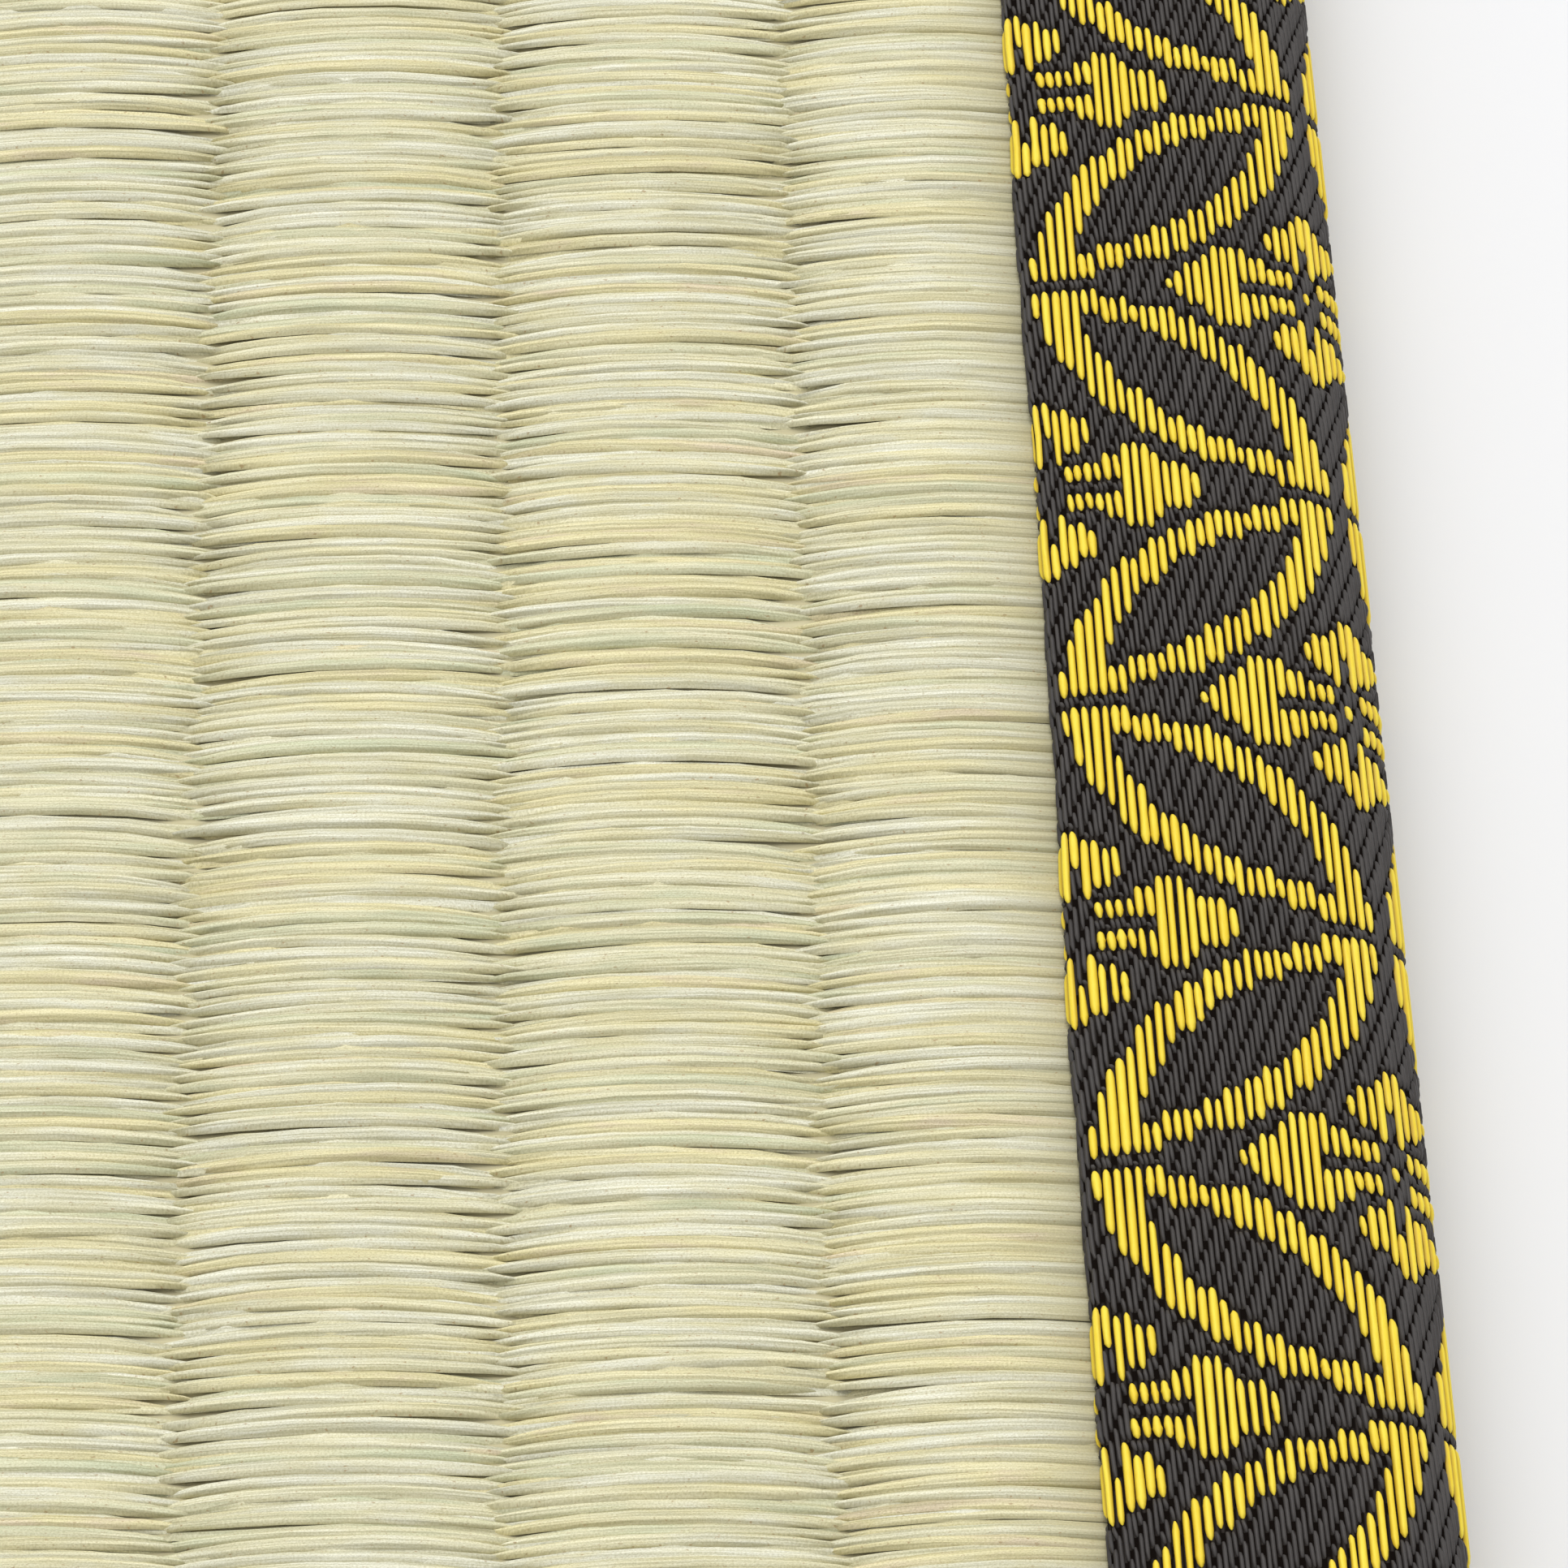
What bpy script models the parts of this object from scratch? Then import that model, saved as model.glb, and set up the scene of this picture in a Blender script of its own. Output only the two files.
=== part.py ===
"""Thin tatami mat: a rush facing in raised bands, bound along its two long sides.

Frame: +X across the bands, +Y along the bindings, +Z up.
The origin is the middle of the underside. All sizes are in metres.
"""

import math

import bmesh
import bpy
from mathutils import Vector

COLLECTION_NAME = "tatami_mat"

# Outer size over the bindings
MAT_WIDTH = 0.820
MAT_LENGTH = 0.820
MAT_HEIGHT = 0.0154

# Rush facing: rounded bands that run along Y, one woven row each
BAND_PITCH = 0.01496
BAND_COUNT = 53
BAND_RELIEF = 0.0007
STEPS_PER_BAND = 4

# Binding cloth, folded over each long side and down at the corners
BINDING_WIDTH = 0.0162
BINDING_SHEET = 0.0010
BINDING_STAND = 0.0008
BINDING_ARCH = 0.0004
BINDING_CREST = 0.0070
EDGE_RADIUS = 0.0035
ARCH_STEPS = 4

# Clearance where the binding lies on the facing
SEAT_GAP = 0.0003
STEP_SLOPE = 0.0002
EDGE_SEGMENTS = 3

RUSH_COLOR = (0.66, 0.63, 0.42, 1.0)
RUSH_ROUGHNESS = 0.72
BINDING_COLOR = (0.045, 0.036, 0.028, 1.0)
BINDING_ROUGHNESS = 0.80

# Worked out from the sizes above
HALF_WIDTH = MAT_WIDTH / 2
HALF_LENGTH = MAT_LENGTH / 2
FACING_TOP = MAT_HEIGHT - BINDING_STAND
BINDING_INNER = HALF_WIDTH - BINDING_WIDTH
SEAT_DEPTH = BINDING_SHEET + SEAT_GAP
SEAT_TOP = MAT_HEIGHT - BINDING_ARCH - SEAT_DEPTH
SEAT_EDGE = BINDING_INNER - SEAT_GAP
SEAT_RADIUS = EDGE_RADIUS - SEAT_DEPTH


def clear_scene():
    """Remove every object the open file holds."""
    for existing in list(bpy.data.objects):
        bpy.data.objects.remove(existing, do_unlink=True)


def make_collection():
    """Make the collection that holds the mat's pieces."""
    collection = bpy.data.collections.new(COLLECTION_NAME)
    bpy.context.scene.collection.children.link(collection)
    return collection


def make_material(name, color, roughness):
    """Make a plain non-metallic material."""
    material = bpy.data.materials.new(name)
    material.use_nodes = True
    shader = material.node_tree.nodes["Principled BSDF"]
    shader.inputs["Base Color"].default_value = color
    shader.inputs["Roughness"].default_value = roughness
    shader.inputs["Metallic"].default_value = 0.0
    return material


def make_object(name, mesh_data, material, collection):
    """Turn an edit mesh into an object of the mat."""
    mesh = bpy.data.meshes.new(name)
    mesh_data.to_mesh(mesh)
    mesh_data.free()
    mesh.materials.append(material)
    piece = bpy.data.objects.new(name, mesh)
    collection.objects.link(piece)
    return piece


def box_between(low, high):
    """Make a box from its lowest to its highest corner."""
    mesh_data = bmesh.new()
    bmesh.ops.create_cube(mesh_data, size=1.0)
    size = Vector(high) - Vector(low)
    centre = (Vector(high) + Vector(low)) / 2
    bmesh.ops.scale(mesh_data, vec=size, verts=mesh_data.verts)
    bmesh.ops.translate(mesh_data, vec=centre, verts=mesh_data.verts)
    return mesh_data


def round_edges(mesh_data, edges, radius):
    """Round the given edges of a box to arcs of one radius."""
    bmesh.ops.bevel(
        mesh_data,
        geom=edges,
        offset=radius,
        offset_type="OFFSET",
        segments=EDGE_SEGMENTS,
        profile=0.5,
        affect="EDGES",
    )


def cut_across(mesh_data, x_values):
    """Add a loop of edges round the mesh at each place along X."""
    for x in x_values:
        everything = mesh_data.verts[:] + mesh_data.edges[:] + mesh_data.faces[:]
        bmesh.ops.bisect_plane(
            mesh_data,
            geom=everything,
            dist=1e-7,
            plane_co=(x, 0.0, 0.0),
            plane_no=(1.0, 0.0, 0.0),
        )


def band_steps():
    """List where the facing is cut along X: over each band and at both seats."""
    first = -BAND_COUNT / 2 * BAND_PITCH
    count = BAND_COUNT * STEPS_PER_BAND
    places = [first + step * BAND_PITCH / STEPS_PER_BAND for step in range(count + 1)]
    places = [x for x in places if abs(x) < SEAT_EDGE - STEP_SLOPE]
    for side in (-1, 1):
        places.append(side * (SEAT_EDGE - STEP_SLOPE))
        places.append(side * SEAT_EDGE)
    return sorted(places)


def band_drop(x):
    """How far the facing lies below its crests: an arc over each band."""
    from_crest = (x / BAND_PITCH + 0.5) % 1.0 - 0.5
    return BAND_RELIEF * (2 * from_crest) ** 2


def swell_facing(mesh_data):
    """Raise the facing between the bindings and shape its bands.

    The box starts at the size of the seat under the bindings. Between the
    bindings it is swollen to the facing's own top, ends and underside, and the
    bands run over the top and down both ends.
    """
    core_y = HALF_LENGTH - SEAT_DEPTH - SEAT_RADIUS
    core_low = SEAT_DEPTH + SEAT_RADIUS
    core_high = SEAT_TOP - SEAT_RADIUS
    end_swell = SEAT_DEPTH - BINDING_STAND
    for vert in mesh_data.verts:
        if abs(vert.co.x) > SEAT_EDGE - STEP_SLOPE / 2:
            continue
        out_y = (vert.co.y - max(-core_y, min(core_y, vert.co.y))) / SEAT_RADIUS
        out_z = (vert.co.z - max(core_low, min(core_high, vert.co.z))) / SEAT_RADIUS
        drop = band_drop(vert.co.x) * min(1.0, 1.0 + out_z)
        z_swell = FACING_TOP - SEAT_TOP if out_z > 0 else SEAT_DEPTH
        vert.co.y += out_y * (end_swell - drop)
        vert.co.z += out_z * (z_swell - drop)


def make_rush_mat(collection):
    """Make the mat's body under its woven rush facing."""
    mesh_data = box_between(
        (-HALF_WIDTH + SEAT_DEPTH, -HALF_LENGTH + SEAT_DEPTH, SEAT_DEPTH),
        (HALF_WIDTH - SEAT_DEPTH, HALF_LENGTH - SEAT_DEPTH, SEAT_TOP),
    )
    round_edges(mesh_data, mesh_data.edges[:], SEAT_RADIUS)
    cut_across(mesh_data, band_steps())
    swell_facing(mesh_data)
    material = make_material("rush", RUSH_COLOR, RUSH_ROUGHNESS)
    return make_object("rush_mat", mesh_data, material, collection)


def arch_height(from_inner):
    """Rise of the binding's top above its inner fold, at a distance from it."""
    reach = min(1.0, from_inner / BINDING_CREST)
    return BINDING_ARCH * math.sin(reach * math.pi / 2)


def shape_arch(mesh_data):
    """Let the binding's top fall a little towards its inner fold."""
    steps = [BINDING_INNER + BINDING_CREST * (n + 1) / ARCH_STEPS for n in range(ARCH_STEPS)]
    cut_across(mesh_data, steps)
    for vert in mesh_data.verts:
        if vert.co.z > MAT_HEIGHT - EDGE_RADIUS:
            share = (vert.co.z - (MAT_HEIGHT - EDGE_RADIUS)) / EDGE_RADIUS
            fall = BINDING_ARCH - arch_height(vert.co.x - BINDING_INNER)
            vert.co.z -= share * fall


def make_binding(name, side, material, collection):
    """Make one binding: an open box of cloth, folded over the mat's side."""
    mesh_data = box_between(
        (BINDING_INNER, -HALF_LENGTH, 0.0),
        (HALF_WIDTH, HALF_LENGTH, MAT_HEIGHT),
    )
    open_side = min(mesh_data.faces, key=lambda face: face.calc_center_median().x)
    open_edges = set(open_side.edges)
    folded = [edge for edge in mesh_data.edges if edge not in open_edges]
    round_edges(mesh_data, folded, EDGE_RADIUS)
    open_side = min(mesh_data.faces, key=lambda face: face.calc_center_median().x)
    bmesh.ops.delete(mesh_data, geom=[open_side], context="FACES_ONLY")
    shape_arch(mesh_data)
    if side < 0:
        bmesh.ops.scale(mesh_data, vec=(-1.0, 1.0, 1.0), verts=mesh_data.verts)
        bmesh.ops.reverse_faces(mesh_data, faces=mesh_data.faces)
    piece = make_object(name, mesh_data, material, collection)
    cloth = piece.modifiers.new("cloth", "SOLIDIFY")
    cloth.thickness = BINDING_SHEET
    cloth.offset = -1.0
    cloth.use_even_offset = True
    return piece


def main():
    """Build the mat's three pieces."""
    clear_scene()
    collection = make_collection()
    make_rush_mat(collection)
    cloth = make_material("binding_cloth", BINDING_COLOR, BINDING_ROUGHNESS)
    make_binding("binding_right", 1, cloth, collection)
    make_binding("binding_left", -1, cloth, collection)


if __name__ == "__main__":
    main()
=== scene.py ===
"""Thin tatami mat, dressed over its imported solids: rush stems, binding cloth and binding threads.

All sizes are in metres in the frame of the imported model: +X across the bands, +Y along
the bindings, +Z up, the origin in the middle of the underside.
"""

import logging
import math
from collections.abc import Callable
from dataclasses import dataclass, field
from enum import Enum

import bmesh
import bpy
import numpy as np
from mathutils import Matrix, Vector


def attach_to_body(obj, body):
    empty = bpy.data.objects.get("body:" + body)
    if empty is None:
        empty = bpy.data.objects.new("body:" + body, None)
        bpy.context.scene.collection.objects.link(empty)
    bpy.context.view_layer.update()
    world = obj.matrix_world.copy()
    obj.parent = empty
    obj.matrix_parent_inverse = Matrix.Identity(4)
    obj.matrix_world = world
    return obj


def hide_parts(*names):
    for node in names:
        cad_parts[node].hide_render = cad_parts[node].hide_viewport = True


LOG = logging.getLogger("tatami_mat")

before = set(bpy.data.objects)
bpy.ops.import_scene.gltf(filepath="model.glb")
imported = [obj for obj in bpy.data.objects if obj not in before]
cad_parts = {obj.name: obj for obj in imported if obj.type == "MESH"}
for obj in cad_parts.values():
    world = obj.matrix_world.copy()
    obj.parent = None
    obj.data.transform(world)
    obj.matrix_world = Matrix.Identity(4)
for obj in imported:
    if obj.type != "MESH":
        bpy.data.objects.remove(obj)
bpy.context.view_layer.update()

MM = 0.001
TOUCH = 0.00001
BODY = "root"

# Sizes of the solids, as the CAD has them
HALF_WIDTH = 0.410
HALF_LENGTH = 0.410
MAT_HEIGHT = 0.0154
BAND_PITCH = 0.01496
BAND_COUNT = 53
FACING_TOP = 0.0146
FACING_END = 0.4092
BINDING_INNER = 0.3938
EDGE_RADIUS = 0.0035

# The binding's weave: the black twill has two threads for each yellow column
COLUMN_PITCH = 0.000489
TWILL_REPEAT = 0.00260
TWILL_SHIFT = 0.25

Array = np.ndarray
Colour = tuple[float, float, float]
Table = dict[str, np.ndarray]


class Side(Enum):
    """The long side that a binding is folded over."""

    RIGHT = 1
    LEFT = -1


class Stretch(Enum):
    """How finely threads or stems are made in a part of the mat."""

    CLOSE = "close"
    UNDER = "under"
    PLAIN = "plain"


# Small tools that every sub-assembly uses


def deselect_all() -> None:
    """Deselect every object."""
    bpy.ops.object.select_all(action="DESELECT")


def make_active(piece: bpy.types.Object) -> None:
    """Select one object alone and make it active.

    Args:
        piece: The object to select.
    """
    deselect_all()
    piece.select_set(True)
    bpy.context.view_layer.objects.active = piece


def mesh_piece(name: str, points: Array, faces: list[Array]) -> bpy.types.Object:
    """Make one mesh object from arrays of points and faces.

    Args:
        name: The piece's name.
        points: Corner places, one row each.
        faces: Arrays of corner numbers, one array for the quads and one for the triangles.

    Returns:
        The new object, at the origin, smooth shaded.
    """
    mesh = bpy.data.meshes.new(name)
    corners = np.concatenate([part.reshape(-1) for part in faces]).astype(np.int32)
    totals = np.concatenate([np.full(len(part), part.shape[1]) for part in faces])
    starts = np.concatenate([[0], np.cumsum(totals)[:-1]]).astype(np.int32)
    mesh.vertices.add(len(points))
    mesh.vertices.foreach_set("co", points.astype(np.float32).reshape(-1))
    mesh.loops.add(len(corners))
    mesh.loops.foreach_set("vertex_index", corners)
    mesh.polygons.add(len(totals))
    mesh.polygons.foreach_set("loop_start", starts)
    mesh.polygons.foreach_set("loop_total", totals.astype(np.int32))
    mesh.polygons.foreach_set("use_smooth", np.ones(len(totals), bool))
    mesh.update(calc_edges=True)
    piece = bpy.data.objects.new(name, mesh)
    bpy.context.scene.collection.objects.link(piece)
    return piece


def add_uv(mesh: bpy.types.Mesh, name: str, per_point: Array) -> None:
    """Add a UV map from one place per corner point.

    Args:
        mesh: The mesh to add the map to.
        name: The map's name.
        per_point: Two numbers for each vertex.
    """
    layer = mesh.uv_layers.new(name=name)
    corners = np.zeros(len(mesh.loops), np.int32)
    mesh.loops.foreach_get("vertex_index", corners)
    layer.data.foreach_set("uv", per_point[corners].astype(np.float32).reshape(-1))


def add_chance(mesh: bpy.types.Mesh, per_point: Array) -> None:
    """Add the random numbers that the finishes read, as a colour on each point.

    Args:
        mesh: The mesh to add them to.
        per_point: Three numbers from 0 to 1 for each vertex.
    """
    layer = mesh.color_attributes.new(name="chance", type="FLOAT_COLOR", domain="POINT")
    rgba = np.ones((len(per_point), 4), np.float32)
    rgba[:, :3] = per_point
    layer.data.foreach_set("color", rgba.reshape(-1))


def smooth_step(value: Array) -> Array:
    """Ease from 0 to 1 as a value goes from 0 to 1."""
    held = np.clip(value, 0.0, 1.0)
    return held * held * (3.0 - 2.0 * held)


def ripple(place: Array, waves: list[tuple[float, float, float]]) -> Array:
    """Add up a few slow waves along one direction.

    Args:
        place: Places along the direction, in metres.
        waves: Height, length and shift of each wave.

    Returns:
        The height at each place.
    """
    return sum(high * np.sin(place / length * 2 * math.pi + shift) for high, length, shift in waves)


def keep_rows(table: Table, chosen: Array) -> Table:
    """Keep the chosen rows of a table."""
    return {name: column[chosen] for name, column in table.items()}


def find_runs(shown: Array) -> tuple[Array, Array, Array]:
    """Find the unbroken runs in each row of a grid.

    Args:
        shown: True where something shows, one row for each column of the cloth.

    Returns:
        Row, start and end of each run.
    """
    edges = np.diff(np.pad(shown, ((0, 0), (1, 1))).astype(np.int8), axis=1)
    row, start = np.nonzero(edges == 1)
    _, end = np.nonzero(edges == -1)
    return row, start, end


def follow(
    along: Array, length: Array, across: Array, up: Array, step: float
) -> tuple[Array, Array, Array, Array]:
    """Walk along a path that lies in a plane.

    Args:
        along: Distances along it.
        length: The distance of each of the path's points.
        across: The points' first coordinate.
        up: Their second coordinate.
        step: How far to each side the direction is read.

    Returns:
        Both coordinates, and both parts of the outward direction.
    """
    here = np.interp(along, length, across)
    height = np.interp(along, length, up)
    run = np.interp(along + step, length, across) - np.interp(along - step, length, across)
    rise = np.interp(along + step, length, up) - np.interp(along - step, length, up)
    size = np.maximum(np.hypot(run, rise), 1e-9)
    return here, height, -rise / size, run / size


def select_parts(
    piece: bpy.types.Object, kind: str, wanted: Callable[[bmesh.types.BMEdge | bmesh.types.BMFace], bool]
) -> None:
    """Select the edges or faces that pass a test, in edit mode.

    Args:
        piece: The object in edit mode.
        kind: EDGE or FACE.
        wanted: The test.
    """
    bpy.ops.mesh.select_mode(type=kind)
    bpy.ops.mesh.select_all(action="DESELECT")
    mesh = bmesh.from_edit_mesh(piece.data)
    for part in mesh.edges if kind == "EDGE" else mesh.faces:
        part.select = wanted(part)
    bmesh.update_edit_mesh(piece.data)


def edge_span(edge: bmesh.types.BMEdge, axis: int) -> float:
    """Give how far an edge runs along one axis."""
    return abs(edge.verts[0].co[axis] - edge.verts[1].co[axis])


@dataclass(frozen=True)
class Spindle:
    """The grid of a thread or a stem: rows of points along it and one point at each end."""

    rows: int
    cols: int

    @property
    def points(self) -> int:
        """Count the points of one shape."""
        return self.rows * self.cols + 2

    def gather(self, values: Array) -> Array:
        """Flatten values that are given for both ends and every row.

        Args:
            values: One value for each shape, row and column. The end rows are averaged.

        Returns:
            The values, one row for each point.
        """
        size = values.shape[-1]
        low = values[:, :1].mean(axis=2)
        high = values[:, -1:].mean(axis=2)
        body = values[:, 1:-1].reshape(len(values), -1, size)
        return np.concatenate([low, body, high], axis=1).reshape(-1, size)

    def faces(self, total: int, flip: bool) -> list[Array]:
        """Number the corners of every face.

        Args:
            total: How many shapes there are.
            flip: Whether the faces are turned over.

        Returns:
            The quads, and the triangles at both ends.
        """
        base = (np.arange(total) * self.points)[:, None, None]
        row = np.arange(self.rows - 1)[None, :, None]
        col = np.arange(self.cols - 1)[None, None, :]
        first = base + 1 + row * self.cols + col
        low = base + 1 + col
        high = low + (self.rows - 1) * self.cols
        kinds = [
            [first, first + self.cols, first + self.cols + 1, first + 1],
            [base + 0 * col, low, low + 1],
            [high, base + self.points - 1 + 0 * col, high + 1],
        ]
        turned = [corners[::-1] if flip else corners for corners in kinds]
        return [np.stack(corners, axis=-1).reshape(-1, len(corners)) for corners in turned]

    def facts(self, chance: Array, across: Array, plain_rim: float) -> Array:
        """Give each point its shape's random numbers, the last one swapped for its nearness to the rim,
        which the finishes turn into painted shade.

        Args:
            chance: Three random numbers for each shape.
            across: Places across a shape, from -1 to 1.
            plain_rim: The nearness to the rim that a shape of few points has all over.

        Returns:
            Three numbers for each point.
        """
        facts = np.repeat(chance, self.points, axis=0)
        grid = (len(chance), self.rows + 2, self.cols, 1)
        rim = np.broadcast_to(np.abs(across)[None, None, :, None], grid)
        facts[:, 2] = self.gather(rim)[:, 0] if self.cols > 3 else plain_rim
        return facts


@dataclass(frozen=True)
class BakeCells:
    """Lays the shapes of one mesh side by side in its bake map, each in a cell of its own."""

    stretch: float
    margin: float
    reach: float

    def lay_out(self, along: Array, across: Array) -> Array:
        """Give every point its place in the map.

        Args:
            along: Places along each shape, one row for each shape.
            across: Places across a shape, from -1 to 1.

        Returns:
            Two numbers for each shape, row and column.
        """
        total, rows = along.shape
        columns = max(1, int(math.sqrt(total / self.stretch)))
        lines = math.ceil(total / columns)
        column = (np.arange(total) % columns)[:, None, None]
        line = (np.arange(total) // columns)[:, None, None]
        share = (along - along[:, :1]) / (along[:, -1:] - along[:, :1])
        u = (column + self.margin + (1 - 2 * self.margin) * share[:, :, None]) / columns
        v = (line + 0.5 + self.reach * across[None, None, :]) / lines
        grid = (total, rows, len(across))
        return np.stack([np.broadcast_to(u, grid), np.broadcast_to(v, grid)], axis=-1)


@dataclass
class NodeBench:
    """Adds shader nodes to one material and joins them up."""

    material: bpy.types.Material

    @property
    def tree(self) -> bpy.types.NodeTree:
        """Give the material's node tree."""
        return self.material.node_tree

    @property
    def shader(self) -> bpy.types.Node:
        """Give the material's main shader."""
        return self.tree.nodes["Principled BSDF"]

    def add(self, kind: str, **settings: object) -> bpy.types.Node:
        """Add one node.

        Args:
            kind: The node's type name.
            settings: Properties to set on it.

        Returns:
            The new node.
        """
        node = self.tree.nodes.new(kind)
        for key, value in settings.items():
            setattr(node, key, value)
        return node

    def join(self, out: bpy.types.NodeSocket, into: bpy.types.NodeSocket) -> None:
        """Join an output to an input."""
        self.tree.links.new(out, into)

    def feed(self, socket: bpy.types.NodeSocket, value: object) -> None:
        """Give an input a plain value or another node's output.

        Args:
            socket: The input.
            value: A number, a tuple or an output socket.
        """
        if isinstance(value, bpy.types.NodeSocket):
            self.join(value, socket)
        else:
            socket.default_value = value

    def math(self, operation: str, *values: object, clamp: bool = False) -> bpy.types.NodeSocket:
        """Add a Math node.

        Args:
            operation: The node's operation.
            values: Its inputs, as numbers or outputs.
            clamp: Whether its result is held between 0 and 1.

        Returns:
            Its output.
        """
        node = self.add("ShaderNodeMath", operation=operation, use_clamp=clamp)
        for socket, value in zip(node.inputs, values):
            self.feed(socket, value)
        return node.outputs[0]

    def mix(self, share: object, first: object, second: object, blend: str = "MIX") -> bpy.types.NodeSocket:
        """Add a colour Mix node.

        Args:
            share: How much of the second colour.
            first: The first colour.
            second: The second colour.
            blend: The blend type.

        Returns:
            Its output.
        """
        node = self.add("ShaderNodeMix", data_type="RGBA", blend_type=blend)
        self.feed(node.inputs[0], share)
        self.feed(node.inputs[6], first)
        self.feed(node.inputs[7], second)
        return node.outputs[2]

    def ramp(self, value: object, stops: list[tuple[float, Colour]]) -> bpy.types.NodeSocket:
        """Add a colour ramp.

        Args:
            value: What it reads.
            stops: Places and linear colours.

        Returns:
            Its colour output.
        """
        node = self.add("ShaderNodeValToRGB")
        ramp = node.color_ramp
        for index, (place, colour) in enumerate(stops):
            stop = ramp.elements[index] if index < 2 else ramp.elements.new(place)
            stop.position = place
            stop.color = (*colour, 1.0)
        self.feed(node.inputs[0], value)
        return node.outputs[0]

    def split(self, vector: bpy.types.NodeSocket) -> list[bpy.types.NodeSocket]:
        """Split a vector into its parts.

        Args:
            vector: The vector's output.

        Returns:
            Its three outputs.
        """
        node = self.add("ShaderNodeSeparateXYZ")
        self.join(vector, node.inputs[0])
        return list(node.outputs)

    def chances(self) -> list[bpy.types.NodeSocket]:
        """Read the three numbers that every point carries.

        Returns:
            The three outputs.
        """
        stored = self.add("ShaderNodeAttribute", attribute_name="chance").outputs["Color"]
        node = self.add("ShaderNodeSeparateColor")
        self.join(stored, node.inputs[0])
        return list(node.outputs)

    def paint(self, colour: bpy.types.NodeSocket) -> None:
        """Give the surface its colour."""
        self.join(colour, self.shader.inputs["Base Color"])

    def stretched(self, vector: object, scale: tuple[float, float, float]) -> bpy.types.NodeSocket:
        """Scale a vector by a different factor on each axis.

        Args:
            vector: The vector's output socket.
            scale: The three factors.

        Returns:
            The scaled vector's output.
        """
        node = self.add("ShaderNodeMapping")
        self.join(vector, node.inputs["Vector"])
        node.inputs["Scale"].default_value = scale
        return node.outputs[0]

    def noise(
        self, vector: object, scale: float, detail: float = 3.0, rough: float = 0.55
    ) -> bpy.types.NodeSocket:
        """Add a noise texture.

        Args:
            vector: Where it is read.
            scale: How fine it is.
            detail: Its levels of detail.
            rough: How strong the finer levels are.

        Returns:
            Its value output.
        """
        node = self.add("ShaderNodeTexNoise")
        self.join(vector, node.inputs["Vector"])
        node.inputs["Scale"].default_value = scale
        node.inputs["Detail"].default_value = detail
        node.inputs["Roughness"].default_value = rough
        return node.outputs["Fac"]

    def bump(self, height: object, distance: float) -> None:
        """Raise the surface by a height.

        Args:
            height: The height's output socket.
            distance: How far a height of 1 stands out, in metres.
        """
        node = self.add("ShaderNodeBump")
        node.inputs["Strength"].default_value = 1.0
        node.inputs["Distance"].default_value = distance
        self.join(height, node.inputs["Height"])
        self.join(node.outputs[0], self.shader.inputs["Normal"])


def new_bench(name: str, roughness: float, specular: float) -> NodeBench:
    """Start a finish: a material with its plain values set.

    Args:
        name: The material's name.
        roughness: The shader's own roughness.
        specular: The shader's own specular level.

    Returns:
        The bench to add nodes at.
    """
    material = bpy.data.materials.new(name)
    material.use_nodes = True
    bench = NodeBench(material)
    bench.shader.inputs["Roughness"].default_value = roughness
    bench.shader.inputs["Specular IOR Level"].default_value = specular
    return bench


# Finishes


@dataclass(frozen=True)
class Streak:
    """One kind of streak on a stem, from noise that is drawn out along it.

    The gain and offset turn the noise into a share, and dark is the value where that share is 0.
    """

    scale: tuple[float, float, float]
    detail: float
    rough: float
    gain: float
    offset: float
    dark: float

    def read(self, bench: NodeBench, stem: bpy.types.NodeSocket) -> bpy.types.NodeSocket:
        """Read the noise on a stem's own map."""
        return bench.noise(bench.stretched(stem, self.scale), 1.0, self.detail, self.rough)

    def share(self, bench: NodeBench, value: bpy.types.NodeSocket) -> bpy.types.NodeSocket:
        """Turn the noise into a share from 0 to 1."""
        return bench.math("MULTIPLY_ADD", value, self.gain, self.offset, clamp=True)


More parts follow.
